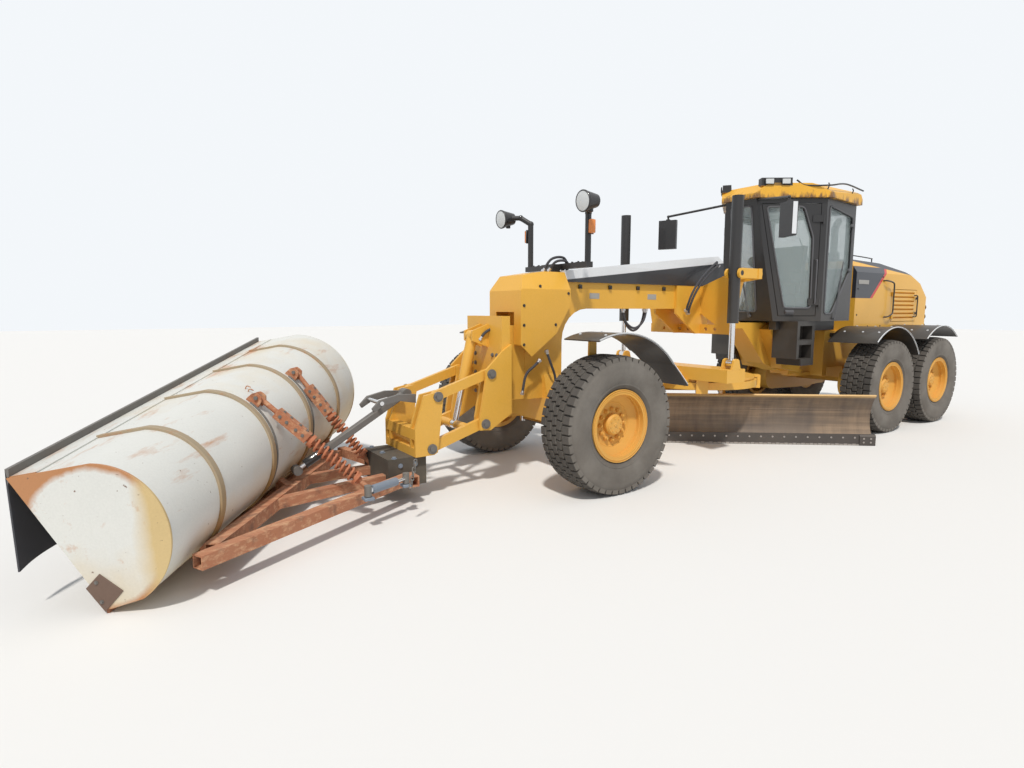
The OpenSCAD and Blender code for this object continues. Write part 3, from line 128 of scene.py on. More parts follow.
# Shader parts
def put(tree, value, socket):
    """Links a value or an output to a socket, or sets a number or a colour on it."""
    if isinstance(value, Value):
        tree.links.new(value.out, socket)
    elif isinstance(value, bpy.types.NodeSocket):
        tree.links.new(value, socket)
    elif socket.type == "RGBA":
        socket.default_value = (*value, 1)
    else:
        socket.default_value = value


def math_node(tree, op, *values):
    n = tree.nodes.new("ShaderNodeMath")
    n.operation = op
    for value, socket in zip(values, n.inputs):
        put(tree, value, socket)
    return Value(tree, n.outputs[0])


class Value:
    """A number on the surface that adds and multiplies in the shader."""

    def __init__(self, tree, out):
        self.tree = tree
        self.out = out

    def __add__(self, other):
        return math_node(self.tree, "ADD", self, other)

    def __sub__(self, other):
        return math_node(self.tree, "SUBTRACT", self, other)

    def __rsub__(self, other):
        return math_node(self.tree, "SUBTRACT", other, self)

    def __mul__(self, other):
        return math_node(self.tree, "MULTIPLY", self, other)

    def __abs__(self):
        return math_node(self.tree, "ABSOLUTE", self)

    def clamped(self):
        self.out.node.use_clamp = True
        return self

    def past(self, limit, gain):
        """How far it goes past a limit, times gain, within 0 and 1."""
        return ((self - limit) * gain).clamped()

    def ramp(self, low, high):
        n = self.tree.nodes.new("ShaderNodeMapRange")
        n.inputs["From Min"].default_value = low
        n.inputs["From Max"].default_value = high
        put(self.tree, self, n.inputs["Value"])
        return Value(self.tree, n.outputs["Result"])

    def over(self, limit, soft=SOFT_EDGE):
        return self.ramp(limit - soft, limit + soft)

    def under(self, limit):
        return self.ramp(limit + SOFT_EDGE, limit - SOFT_EDGE)


def noise(tree, vector, scale, detail, rough):
    n = tree.nodes.new("ShaderNodeTexNoise")
    n.inputs["Scale"].default_value = scale
    n.inputs["Detail"].default_value = detail
    n.inputs["Roughness"].default_value = rough
    put(tree, vector, n.inputs["Vector"])
    return Value(tree, n.outputs["Fac"])


def mix_colour(tree, factor, a, b):
    n = tree.nodes.new("ShaderNodeMix")
    n.data_type = "RGBA"
    for i, value in ((0, factor), (6, a), (7, b)):
        put(tree, value, n.inputs[i])
    return n.outputs[2]


def coordinates(tree, matrix):
    """Where a point of the surface is, in the frame that the matrix places."""
    m = tree.nodes.new("ShaderNodeMapping")
    m.vector_type = "TEXTURE"
    m.inputs["Location"].default_value = matrix.to_translation()
    m.inputs["Rotation"].default_value = matrix.to_euler()
    put(tree, tree.nodes.new("ShaderNodeTexCoord").outputs["Object"], m.inputs["Vector"])
    return m.outputs[0]


def split(tree, vector):
    n = tree.nodes.new("ShaderNodeSeparateXYZ")
    put(tree, vector, n.inputs[0])
    return [Value(tree, out) for out in n.outputs]


def places(tree, matrix=AT_MACHINE):
    return split(tree, coordinates(tree, matrix))


def normals(tree):
    return split(tree, tree.nodes.new("ShaderNodeTexCoord").outputs["Normal"])


def grain(tree, matrix, stretch, scale, detail, rough):
    """Noise drawn out along the axes of a frame, for streaks and brushed grain."""
    n = tree.nodes.new("ShaderNodeVectorMath")
    n.operation = "MULTIPLY"
    n.inputs[1].default_value = stretch
    put(tree, coordinates(tree, matrix), n.inputs[0])
    return noise(tree, n.outputs[0], scale, detail, rough)


def hood_paint(tree, base):
    """Dark panel, red stripe and dark lid on the engine enclosure."""
    x, y, z = places(tree)
    lean = 1.0536
    foot = 1.960
    slant = x + z * lean
    side = abs(y).over(0.5) * z.over(foot - 0.002)
    stripe = slant.over(-6.095 + foot * lean)
    panel = slant.over(-6.023 + foot * lean)
    lid = (z - x * 0.10).over(3.09)
    colour = mix_colour(tree, side * stripe, base, (0.62, 0.020, 0.012))
    dark = math_node(tree, "MAXIMUM", side * panel, lid)
    return mix_colour(tree, dark, colour, (0.016, 0.021, 0.034))


def roof_paint(tree, base):
    """Yellow roof with brown stains along its lower edge, and the dark visors on it."""
    x, y, z = places(tree)
    u = x - VISOR.x
    v = abs(y) - VISOR.y
    along = u * VISOR_WAY.x + v * VISOR_WAY.y
    across = v * VISOR_WAY.x - u * VISOR_WAY.y
    visor = (along.over(-0.203) * along.under(0.213) * across.over(-0.073) * across.under(0.048)
             * z.over(3.431))
    streaks = grain(tree, AT_MACHINE, (9, 9, 2.2), 1.0, 5, 0.7)
    stain = (streaks + z.ramp(3.42, 3.29) * 0.26).past(0.66, 7.0)
    colour = mix_colour(tree, stain, base, (0.20, 0.10, 0.035))
    return mix_colour(tree, visor, colour, (0.014, 0.014, 0.016))


def cover_painted_glare(tree, base):
    """Dark hose cover with a white band along its top edge, a painted reflection of the sun on its glossy
    top.
    """
    x, _, z = places(tree)
    # Pale grey-white above this slanted line: a painted reflection of the sun on the glossy top
    return mix_colour(tree, (z + x * 0.107).over(2.085, 0.003), base, (0.74, 0.76, 0.78))


def block_paint(tree, base):
    """Rust on the push frame, with pale streaks as painted highlights of the sun, and its rear block dark."""
    x, y, _ = places(tree)
    dark = x.under(1.975) * abs(y).under(0.308)
    # Pale streaks: painted highlights of the sun on the rust; from here on rust holds the rust colour with
    # these painted highlights
    pale = grain(tree, AT_MACHINE, (3, 9, 9), 3.0, 6, 0.7).past(0.49, 5.0)
    rust = mix_colour(tree, pale, base, (0.70, 0.40, 0.22))
    deep = grain(tree, AT_MACHINE, (7, 7, 7), 1.0, 4, 0.6).past(0.55, 6.0)
    rust = mix_colour(tree, deep, rust, (0.17, 0.055, 0.028))
    return mix_colour(tree, dark, rust, (0.020, 0.019, 0.018))


def plow_paint(tree, base):
    """Old white paint, tan low down and at the far end, with rust along the lip and in smears."""
    x, y, z = places(tree, AT_PLOW)
    t = y * (-1 / PLOW_L)
    smear = grain(tree, AT_PLOW, (5, 0.9, 5), 1.3, 6, 0.66)
    patch = grain(tree, AT_PLOW, (1, 1, 1), 1.1, 4, 0.55)
    low = (z - t * 0.45).ramp(0.52, 0.06)
    tan = (low * 0.42 + t * 0.16 + patch).past(0.60, 2.8)
    colour = mix_colour(tree, tan * 0.75, base, (0.66, 0.47, 0.20))
    lip = (x - t * 0.13).ramp(0.10, 0.50)
    rusty = (smear + lip * 0.13).past(0.60, 6.0)
    colour = mix_colour(tree, rusty * 0.85, colour, (0.50, 0.22, 0.08))
    end = y.over(-0.012)
    dx = x - ROLL_LOW[0].x
    dz = z - ROLL_LOW[0].y
    away = math_node(tree, "SQRT", dx * dx + dz * dz)
    rim = (away + smear * 0.06).ramp(0.425, 0.462)
    colour = mix_colour(tree, end * rim, colour, (0.46, 0.20, 0.075))
    behind = (patch * 0.30 - x).ramp(0.33, 0.44)
    colour = mix_colour(tree, end * behind, colour, (0.60, 0.44, 0.20))
    dots = grain(tree, AT_PLOW, (1, 1, 1), 34.0, 2, 0.5).past(0.73, 14.0)
    return mix_colour(tree, dots, colour, (0.16, 0.085, 0.05))


def rib_paint(tree, base):
    """Grey-tan ribs that go brown towards the ground."""
    _, y, z = places(tree, AT_PLOW)
    brown = (z + y * (0.45 / PLOW_L)).ramp(0.62, 0.25)
    colour = mix_colour(tree, brown, base, (0.34, 0.19, 0.055))
    spots = grain(tree, AT_PLOW, (6, 6, 6), 2.0, 5, 0.7).past(0.56, 6.0)
    return mix_colour(tree, spots, colour, (0.45, 0.20, 0.09))


def blade_paint(tree, base):
    """Bare moldboard, polished in long streaks and brown with dirt."""
    streak = grain(tree, AT_CIRCLE, (2, 0.35, 14), 1.6, 6, 0.65)
    drip = grain(tree, AT_CIRCLE, (2, 7, 0.8), 1.4, 4, 0.6)
    mixed = (streak * 0.6 + drip * 0.4).ramp(0.30, 0.68)
    colour = mix_colour(tree, mixed, (0.075, 0.050, 0.040), (0.34, 0.235, 0.150))
    cloud = grain(tree, AT_CIRCLE, (2.2, 1.1, 2.6), 1.0, 3, 0.5).ramp(0.45, 0.62)
    colour = mix_colour(tree, cloud * 0.6, colour, (0.060, 0.052, 0.055))
    painted = places(tree, AT_CIRCLE)[2].over(0.630, 0.012)
    return mix_colour(tree, painted, colour, base)


def tyre_paint(tree, base):
    """Dusty grey sidewalls between a dark tread and a dark bead."""
    side = abs(normals(tree)[1]).ramp(0.45, 0.95)
    patch = grain(tree, AT_MACHINE, (1, 1, 1), 3.2, 5, 0.6).ramp(0.35, 0.65)
    grey = mix_colour(tree, patch, (0.115, 0.104, 0.090), (0.215, 0.198, 0.175))
    return mix_colour(tree, side, base, grey)


def weather_group():
    """Colour and roughness of a surface under a dust film, with patches of wear."""
    g = bpy.data.node_groups.new("weathering", "ShaderNodeTree")
    inputs = (("Colour", "Color", (0.8, 0.5, 0.1, 1)), ("Wear colour", "Color", (0.3, 0.2, 0.12, 1)),
              ("Dust colour", "Color", (0.42, 0.35, 0.26, 1)), ("Wear", "Float", 0.2),
              ("Dust", "Float", 0.3), ("Scale", "Float", 1.0), ("Roughness", "Float", 0.45))
    for name, kind, default in inputs:
        s = g.interface.new_socket(name=name, in_out="INPUT", socket_type="NodeSocket" + kind)
        s.default_value = default
    for name, kind in (("Colour", "Color"), ("Roughness", "Float"), ("Height", "Float")):
        g.interface.new_socket(name=name, in_out="OUTPUT", socket_type="NodeSocket" + kind)
    given = {s.name: Value(g, s) for s in g.nodes.new("NodeGroupInput").outputs}
    out = g.nodes.new("NodeGroupOutput").inputs
    where = g.nodes.new("ShaderNodeTexCoord").outputs["Object"]
    scaled = g.nodes.new("ShaderNodeVectorMath")
    scaled.operation = "SCALE"
    put(g, where, scaled.inputs[0])
    put(g, given["Scale"], scaled.inputs["Scale"])
    broad = noise(g, scaled.outputs[0], 1.6, 5, 0.62)
    fine = noise(g, scaled.outputs[0], 26.0, 6, 0.7)
    speck = noise(g, scaled.outputs[0], 75.0, 3, 0.6)
    worn = (broad * 0.55 + fine * 0.45).past(0.74 - given["Wear"] * 0.34, 14.0)
    top = normals(g)[2].ramp(-0.4, 1.0)
    low = split(g, where)[2].ramp(2.6, 0.2)
    dusty = ((top * 0.45 + low) * broad * given["Dust"]).clamped()
    shade = g.nodes.new("ShaderNodeHueSaturation")
    put(g, given["Colour"], shade.inputs["Color"])
    put(g, speck * 0.16 + broad * 0.22 + 0.81, shade.inputs["Value"])
    painted = mix_colour(g, worn, shade.outputs[0], given["Wear colour"])
    put(g, mix_colour(g, dusty, painted, given["Dust colour"]), out["Colour"])
    put(g, (given["Roughness"] + fine * 0.12 + dusty * 0.45).clamped(), out["Roughness"])
    put(g, speck * 0.3 - worn * 0.6, out["Height"])


DIRT = (0.40, 0.33, 0.24)
RUST = (0.20, 0.085, 0.035)
SOOT = (0.05, 0.045, 0.04)
PAINT_WEAR = (0.16, 0.09, 0.04)


def finishes(sizes):
    """Rows of name, colour, wear colour, wear, dust, roughness and what else a finish has."""
    yellow = tuple(sizes.yellow)
    white = tuple(sizes.plow)
    return (
        ("yellow", yellow, PAINT_WEAR, 0.12, 0.30, 0.38, {"coat": 0.15}),
        ("black", (0.012, 0.012, 0.014), SOOT, 0.05, 0.22, 0.38, {"coat": 0.2}),
        ("hood_black", (0.012, 0.013, 0.016), (0.05, 0.05, 0.05), 0.02, 0.12, 0.25, {"coat": 0.5}),
        ("steel", (0.50, 0.50, 0.50), RUST, 0.12, 0.2, 0.3, {"metal": 0.9}),
        ("chrome", (0.75, 0.75, 0.76), RUST, 0.0, 0.1, 0.12, {"metal": 1.0}),
        ("worn_steel", (0.20, 0.16, 0.14), RUST, 0.7, 0.35, 0.5, {"metal": 0.6}),
        ("iron", (0.08, 0.08, 0.08), RUST, 0.2, 0.2, 0.6, {"metal": 0.3}),
        ("rust", (0.42, 0.14, 0.055), (0.14, 0.07, 0.045), 0.55, 0.35, 0.7, {"scale": 1.6}),
        ("plow_white", white, (0.45, 0.24, 0.10), 0.10, 0.15, 0.42, {"paint": plow_paint}),
        ("rib_tan", (0.37, 0.29, 0.19), (0.30, 0.16, 0.08), 0.3, 0.2, 0.6, {"paint": rib_paint}),
        ("patch_brown", (0.13, 0.075, 0.055), (0.34, 0.20, 0.13), 0.2, 0.2, 0.65, {}),
        # Push frame rust, with pale streaks that are painted highlights of the sun
        ("push_rust_and_glint", (0.44, 0.15, 0.065), (0.15, 0.07, 0.045), 0.35, 0.3, 0.7,
         {"scale": 1.6, "paint": block_paint}),
        ("hood_yellow", yellow, PAINT_WEAR, 0.03, 0.2, 0.32, {"coat": 0.3, "paint": hood_paint}),
        ("roof_yellow", yellow, PAINT_WEAR, 0.2, 0.2, 0.42, {"coat": 0.1, "paint": roof_paint}),
        # The hose cover's finish: dark, with a painted reflection of the sun along its top
        ("cover_black", (0.020, 0.022, 0.028), (0.2, 0.2, 0.2), 0.03, 0.15, 0.35,
         {"coat": 0.2, "paint": cover_painted_glare}),
        ("wheel_yellow", (0.74, 0.36, 0.028), (0.12, 0.06, 0.03), 0.30, 0.35, 0.45, {"scale": 1.5}),
        ("blade_steel", (0.62, 0.40, 0.17), (0.13, 0.07, 0.045), 0.1, 0.2, 0.42,
         {"metal": 0.35, "paint": blade_paint}),
        ("edge_steel", (0.060, 0.055, 0.058), (0.17, 0.12, 0.10), 0.35, 0.2, 0.45, {"metal": 0.6}),
        ("tyre_rubber", (0.026, 0.025, 0.024), SOOT, 0.1, 0.85, 0.85,
         {"dirt": (0.16, 0.14, 0.12), "paint": tyre_paint}),
        ("rubber", (0.022, 0.021, 0.020), SOOT, 0.1, 0.35, 0.62, {"dirt": (0.15, 0.13, 0.11)}),
        ("spring_rust", (0.50, 0.16, 0.07), (0.16, 0.06, 0.035), 0.4, 0.15, 0.65, {"scale": 3.0}),
        ("ram_blue", (0.17, 0.22, 0.29), (0.30, 0.22, 0.16), 0.2, 0.2, 0.4, {}),
        ("grey_steel", (0.17, 0.165, 0.16), (0.30, 0.17, 0.10), 0.3, 0.25, 0.55, {"metal": 0.4}),
        # Near-white; on the fender lips it stands for a painted highlight of the sun
        ("pale_edge", (0.72, 0.74, 0.76), (0.35, 0.33, 0.30), 0.1, 0.15, 0.3, {}),
        ("lens", (0.62, 0.64, 0.64), (0.5, 0.5, 0.5), 0.0, 0.1, 0.12, {"coat": 0.6}),
        ("amber", (0.75, 0.22, 0.02), (0.5, 0.2, 0.05), 0.0, 0.1, 0.15, {"coat": 0.6}),
        ("red_lens", (0.50, 0.01, 0.01), (0.3, 0.05, 0.05), 0.0, 0.1, 0.15, {"coat": 0.6}),
        ("sign_grey", (0.36, 0.35, 0.33), (0.25, 0.22, 0.2), 0.1, 0.2, 0.5, {}),
        ("vinyl", (0.030, 0.030, 0.033), (0.08, 0.08, 0.08), 0.1, 0.1, 0.55, {}),
        ("trim", (0.02, 0.02, 0.022), (0.05, 0.05, 0.05), 0.0, 0.1, 0.6, {}),
    )


# What a CAD node wears where its slot doesn't say enough
BY_SLOT = {"yellow_paint": "yellow", "black_paint": "black", "rusty_paint": "rust",
           "plow_paint": "plow_white", "steel": "chrome", "tyre": "tyre_rubber"}
BY_NODE = {"engine_hood": "hood_yellow", "engine_door_left": "hood_yellow",
           "engine_door_right": "hood_yellow", "cab_roof": "roof_yellow", "frame_hood": "cover_black",
           "push_frame": "push_rust_and_glint",
           "moldboard": "blade_steel", "cutting_edge": "edge_steel", "plow_frame": "rib_tan",
           "cab_interior": "vinyl"}


def finish(name, colour, wear_colour, wear, dust, rough, more):
    """A material on the weathering group; its paint, where it has one, lays colours by place."""
    m = bpy.data.materials.new(name)
    m.use_nodes = True
    m.diffuse_color = (*colour, 1)
    t = m.node_tree
    shader = t.nodes["Principled BSDF"].inputs
    g = t.nodes.new("ShaderNodeGroup")
    g.node_tree = bpy.data.node_groups["weathering"]
    laid = more["paint"](t, colour) if "paint" in more else colour
    given = {"Colour": laid, "Wear colour": wear_colour, "Dust colour": more.get("dirt", DIRT),
             "Wear": wear, "Dust": dust, "Scale": more.get("scale", 1.0), "Roughness": rough}
    for socket, value in given.items():
        put(t, value, g.inputs[socket])
    put(t, g.outputs["Colour"], shader["Base Color"])
    put(t, g.outputs["Roughness"], shader["Roughness"])
    shader["Metallic"].default_value = more.get("metal", 0.0)
    shader["Coat Weight"].default_value = more.get("coat", 0.0)
    b = t.nodes.new("ShaderNodeBump")
    b.inputs["Distance"].default_value = 0.002
    b.inputs["Strength"].default_value = 0.5
    put(t, g.outputs["Height"], b.inputs["Height"])
    put(t, b.outputs["Normal"], shader["Normal"])


# Mesh parts
def keep(bm, name, materials, body, smooth=40, place=AT_MACHINE, replaces=()):
    """A finished piece from a bmesh in the frame of place, with its materials in the given order."""
    bmesh.ops.transform(bm, matrix=place, verts=bm.verts)
    bmesh.ops.remove_doubles(bm, verts=bm.verts, dist=1e-5)
    bmesh.ops.recalc_face_normals(bm, faces=bm.faces)
    mesh = bpy.data.meshes.new(name)
    bm.to_mesh(mesh)
    bm.free()
    piece = bpy.data.objects.new(name, mesh)
    bpy.context.scene.collection.objects.link(piece)
    for one in materials:
        mesh.materials.append(bpy.data.materials[one])
    mesh.shade_smooth()
    mesh.set_sharp_from_angle(angle=math.radians(smooth))
    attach(piece, body)
    if replaces:
        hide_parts(*replaces)


def beveled(bm, verts, width, segments=1):
    """Bevels every edge at these vertices and gives back all that the shape has then."""
    edges = list({e for v in verts for e in v.link_edges})
    faces = bmesh.ops.bevel(bm, geom=edges, offset=width, offset_type="OFFSET", affect="EDGES",
                            segments=segments, profile=0.5, material=-1)["faces"]
    return list({v for f in faces for v in f.verts} | {v for v in verts if v.is_valid})


def add_box(bm, low, high, bevel=0.0, matrix=None, segments=1):
    low, high = Vector(low), Vector(high)
    made = bmesh.ops.create_cube(bm, size=1, matrix=Matrix.Translation((low + high) / 2)
                                 @ Matrix.Diagonal((*(high - low), 1)))["verts"]
    if bevel:
        made = beveled(bm, made, bevel, segments)
    if matrix is not None:
        bmesh.ops.transform(bm, matrix=matrix, verts=made)
    return made


def frame_along(a, b):
    d = (b - a).normalized()
    return Matrix.Translation(a) @ d.to_track_quat("Z", "Y").to_matrix().to_4x4()


def add_rod(bm, a, b, r, r2=None, sides=20):
    a, b = Vector(a), Vector(b)
    m = frame_along(a, b) @ Matrix.Translation((0, 0, (b - a).length / 2))
    return bmesh.ops.create_cone(bm, cap_ends=True, cap_tris=False, segments=sides, radius1=r,
                                 radius2=r if r2 is None else r2, depth=(b - a).length, matrix=m)["verts"]


def add_spin(bm, outline, steps, matrix=ROW):
    """An outline of (radius, height) points spun once round Z, then placed by matrix."""
    verts = [bm.verts.new((r, 0, z)) for r, z in outline]
    edges = [bm.edges.new(p) for p in zip(verts, verts[1:] + verts[:1])]
    bmesh.ops.spin(bm, geom=verts + edges, cent=(0, 0, 0), axis=(0, 0, 1), angle=2 * math.pi,
                   steps=steps, use_merge=True, use_duplicate=False)
    made = set()
    todo = list(verts)
    while todo:
        v = todo.pop()
        if v not in made:
            made.add(v)
            todo.extend(e.other_vert(v) for e in v.link_edges)
    bmesh.ops.transform(bm, matrix=matrix, verts=list(made))
    return made


def ring_edges(ring):
    edges = {e for v in ring for e in v.link_edges}
    return [e for e in edges if e.verts[0] in ring and e.verts[1] in ring]


def add_tube(bm, points, r, sides=10, bend=0, closed=False):
    """A round tube along points, capped or closed on itself; bend is the steps that smooth a stretch."""
    points = curve_points(points, bend) if bend else [Vector(p) for p in points]
    rings = []
    for i, p in enumerate(points):
        before = points[i - 1 if closed else max(i - 1, 0)]
        after = points[(i + 1) % len(points) if closed else min(i + 1, len(points) - 1)]
        rings.append(bmesh.ops.create_circle(bm, cap_ends=False, radius=r, segments=sides,
                                             matrix=frame_along(p, p + (after - before)))["verts"])
    for a, b in zip(rings, rings[1:] + (rings[:1] if closed else [])):
        bmesh.ops.bridge_loops(bm, edges=ring_edges(a) + ring_edges(b))
    if not closed:
        for end in (rings[0], rings[-1]):
            bmesh.ops.contextual_create(bm, geom=end)
    return [v for ring in rings for v in ring]


def add_seal(bm, corners, corner_r, r=0.011, steps=4):
    """A thin tube round a closed outline with its corners rounded."""
    return add_tube(bm, round_corners([Vector(p) for p in corners], corner_r, steps), r, sides=8, closed=True)


def paint(verts, index):
    """Gives the faces between these vertices another of their piece's materials."""
    inside = set(verts)
    for f in {f for v in verts for f in v.link_faces}:
        if all(v in inside for v in f.verts):
            f.material_index = index


def round_corners(points, r, steps):
    """A closed outline with each corner turned into an arc-like bend."""
    out = []
    for a, b, c in zip(points[-1:] + points[:-1], points, points[1:] + points[:1]):
        start = b + (a - b).normalized() * r
        end = b + (c - b).normalized() * r
        for i in range(steps + 1):
            t = i / steps
            out.append(start * (1 - t) ** 2 + b * 2 * t * (1 - t) + end * t * t)
    return out


def add_bolts(bm, spots, normal, r, h, washer=True):
    """Hexagon heads on washers, each at a spot and out along the normal."""
    normal = Vector(normal).normalized()
    made = []
    for spot in spots:
        spot = Vector(spot)
        if washer:
            made += add_rod(bm, spot - normal * 0.001, spot + normal * 0.003, r * 1.35, sides=16)
        made += add_rod(bm, spot, spot + normal * (h + 0.002), r, sides=6)
    return made


def helix(a, b, r, turns, each):
    """Points round the line from a to b."""
    m = frame_along(a, b)
    rise = (b - a).length / (turns * each)
    step = 2 * math.pi / each
    return [m @ Vector((r * math.cos(step * i), r * math.sin(step * i), rise * i))
            for i in range(turns * each + 1)]


def curve_points(points, steps):
    """Points on a smooth line through the given ones."""
    out = []
    p = [Vector(q) for q in points]
    p = [2 * p[0] - p[1]] + p + [2 * p[-1] - p[-2]]
    for a, b, c, d in zip(p, p[1:], p[2:], p[3:]):
        for i in range(steps):
            t = i / steps
            out.append(0.5 * ((2 * b) + (c - a) * t + (2 * a - 5 * b + 4 * c - d) * t * t
                              + (3 * b - a - 3 * c + d) * t ** 3))
    out.append(p[-2])
    return out


def both_sides(bm):
    """Adds the mirror image of every face on the machine's other side."""
    bmesh.ops.mirror(bm, geom=bm.verts[:] + bm.edges[:] + bm.faces[:], axis="Y", merge_dist=0)


def add_loft(bm, rings):
    """Outlines of points bridged one after another and capped at both ends."""
    loops = []
    for ring in rings:
        verts = [bm.verts.new(p) for p in ring]
        loops.append((verts, [bm.edges.new(pair) for pair in zip(verts, verts[1:] + verts[:1])]))
    for (_, a), (_, b) in zip(loops, loops[1:]):
        bmesh.ops.bridge_loops(bm, edges=a + b)
    for verts, _ in (loops[0], loops[-1]):
        bmesh.ops.contextual_create(bm, geom=verts)
    return [v for verts, _ in loops for v in verts]


def add_slab(bm, outline, through, bevel, at_y=0.0):
    """A flat plate: an outline of points in X and Z at a Y, pushed through by a length along Y."""
    verts = [bm.verts.new((p[0], at_y, p[1])) for p in outline]
    face = bm.faces.new(verts)
    made = bmesh.ops.extrude_face_region(bm, geom=[face])["geom"]
    moved = [v for v in made if isinstance(v, bmesh.types.BMVert)]
    bmesh.ops.translate(bm, verts=moved, vec=(0, through, 0))
    return beveled(bm, verts + moved, bevel)


def plow_line(t, out):
    """The plow's line from its foot round the roll to its lip, at t along it and out from the sheet."""
    c, r = roll(t)
    line = [Vector((-max(out, 0.0), 0.030))]
    for i in range(ROLL_STEPS + 1):
        a = math.radians(ROLL_FROM + (90 - ROLL_FROM) * i / ROLL_STEPS)
        line.append(c + (r + out) * Vector((math.cos(a), math.sin(a))))
    end = LIP_LOW.lerp(LIP_HIGH, t) + Vector((0, out))
    top = line[-1].copy()
    return line + [top.lerp(end, i / TOP_STEPS) for i in range(1, TOP_STEPS + 1)]


def door_place(x, z, out, side):
    """A place on a door's outer face."""
    y = 0.8 - (x + 4.2) * math.tan(DOOR_SLOPE)
    return Vector((x + out * math.sin(DOOR_SLOPE), side * (y + out * math.cos(DOOR_SLOPE)), z))


def quarter_place(x, z, out=0.0):
    """A place on the cab's left side behind the door."""
    return Vector((x, 0.8 + (x + 4.2) * 0.10526 + out, z))


def screen_place(y, z, out=0.0):
    """A place on the leaning windscreen."""
    return Vector((-3.67 + (z - 1.62) * 0.25 / 1.66 + out, y, z))


def arc(x, r, start, end, y):
    """Points round an axle, angles in degrees from the front."""
    steps = 28
    centre = Vector((x, y, AXLE_Z))
    return [centre + round_y(start + (end - start) * i / steps) * r for i in range(steps + 1)]


class GraderSizes(bpy.types.PropertyGroup):
    yellow: bpy.props.FloatVectorProperty(
        name="Machine paint", description="Colour of the yellow paint", subtype="COLOR", size=3,
        default=(0.80, 0.42, 0.035), min=0, max=1)
    plow: bpy.props.FloatVectorProperty(
        name="Plow paint", description="Colour of the plow's worn paint", subtype="COLOR", size=3,
        default=(0.70, 0.705, 0.67), min=0, max=1)
    lug_height: bpy.props.FloatProperty(
        name="Tread depth", description="Height of a tyre's tread blocks", default=0.022, min=0.005, max=0.04,
        subtype="DISTANCE", unit="LENGTH")
    hose_radius: bpy.props.FloatProperty(
        name="Hose radius", description="Radius of the hydraulic hoses", default=0.014, min=0.005, max=0.03,
        subtype="DISTANCE", unit="LENGTH")


class GRADER_OT_finishes(bpy.types.Operator):
    """Makes the paints, metals, rubber and glass and gives each solid its finish"""
    bl_idname = "grader.finishes"
    bl_label = "Finishes"

    def execute(self, context):
        weather_group()
        for row in finishes(context.scene.grader_sizes):
            finish(*row)
        glass = bpy.data.materials.new("glass")
        glass.use_nodes = True
        shader = glass.node_tree.nodes["Principled BSDF"].inputs
        shader["Base Color"].default_value = (0.030, 0.048, 0.055, 1)
        shader["Specular IOR Level"].default_value = 0.15
        shader["Roughness"].default_value = 0.03
        shader["Alpha"].default_value = 0.92
        slots = {p["node"]: p["material_slot"] for p in frame["record"]["subparts"]}
        for node, obj in frame["nodes"].items():
            own = BY_NODE.get(node, BY_SLOT.get(slots[node], slots[node]))
            if node.startswith("rim_"):
                own = "wheel_yellow"
            obj.data.materials.clear()
            obj.data.materials.append(bpy.data.materials[own])
        return {"FINISHED"}


def at_wheel(place, side):
    """The wheel's own frame: Z along its axle, outwards."""
    return (Matrix.Translation(machine(WHEEL_X[place], side * TRACK, AXLE_Z))
            @ Matrix.Rotation(math.radians(-90 * side), 4, "X"))


class GRADER_OT_tyres(bpy.types.Operator):
    """Moulds the six tyres with their tread blocks and sidewall rings"""
    bl_idname = "grader.tyres"
    bl_label = "Tyres"

    def execute(self, context):
        top = 0.6738
        base = top - context.scene.grader_sizes.lug_height
        half = [(0.3195, 0.1705), (0.3560, 0.1705), (0.3650, 0.1830), (0.3900, 0.1980), (0.3960, 0.2035),
                (0.4060, 0.2050), (0.4100, 0.2025), (0.4500, 0.2150), (0.5000, 0.2208), (0.5450, 0.2215),
                (0.5550, 0.2195), (0.5640, 0.2205), (0.5950, 0.2150), (0.6220, 0.2040),
                (base - 0.012, 0.1900), (base - 0.003, 0.1700), (base, 0.1200), (base, 0.0500)]
        outline = [(r, -z) for r, z in half] + [(r, z) for r, z in reversed(half)]
        # Rows of blocks: middle across the tread, width, length, turn in degrees, shift in pitches
        rows = ((0.0, 0.058, 0.074, 8, 0.0), (0.072, 0.062, 0.078, -10, 0.35),
                (-0.072, 0.062, 0.078, 10, 0.65))
        blocks = 46
        pitch = 2 * math.pi / blocks
        shoulder = 0.16
        for place in WHEEL_X:
            for side, word in SIDES:
                bm = bmesh.new()
                add_spin(bm, outline, 72)
                for z, width, length, turn, shift in rows:
                    for i in range(blocks):
                        spot = (Matrix.Rotation(pitch * (i + shift), 4, "Z") @ Matrix.Translation((0, 0, z))
                                @ Matrix.Rotation(math.radians(turn), 4, "X"))
                        add_box(bm, (base - 0.01, -length / 2, -width / 2), (top, length / 2, width / 2),
                                0.003, spot)
                for edge in (-1, 1):
                    for i in range(blocks):
                        block = add_box(bm, (base - 0.03, -0.037, 0.122), (top - 0.001, 0.037, 0.206), 0.003)
                        for v in block:
                            if v.co.z > shoulder:
                                v.co.x -= (v.co.z - shoulder) * (0.30 if v.co.x > base else 0.9)
                            v.co.z *= edge
                        spot = Matrix.Rotation(pitch * (i + 0.5 + 0.2 * edge), 4, "Z")
                        bmesh.ops.transform(bm, matrix=spot, verts=block)
                keep(bm, f"tyre_{place}_{word}_tread", ("tyre_rubber",), f"wheel_{place}_{word}", 32,
                     at_wheel(place, side), (f"tyre_{place}_{word}",))
        return {"FINISHED"}


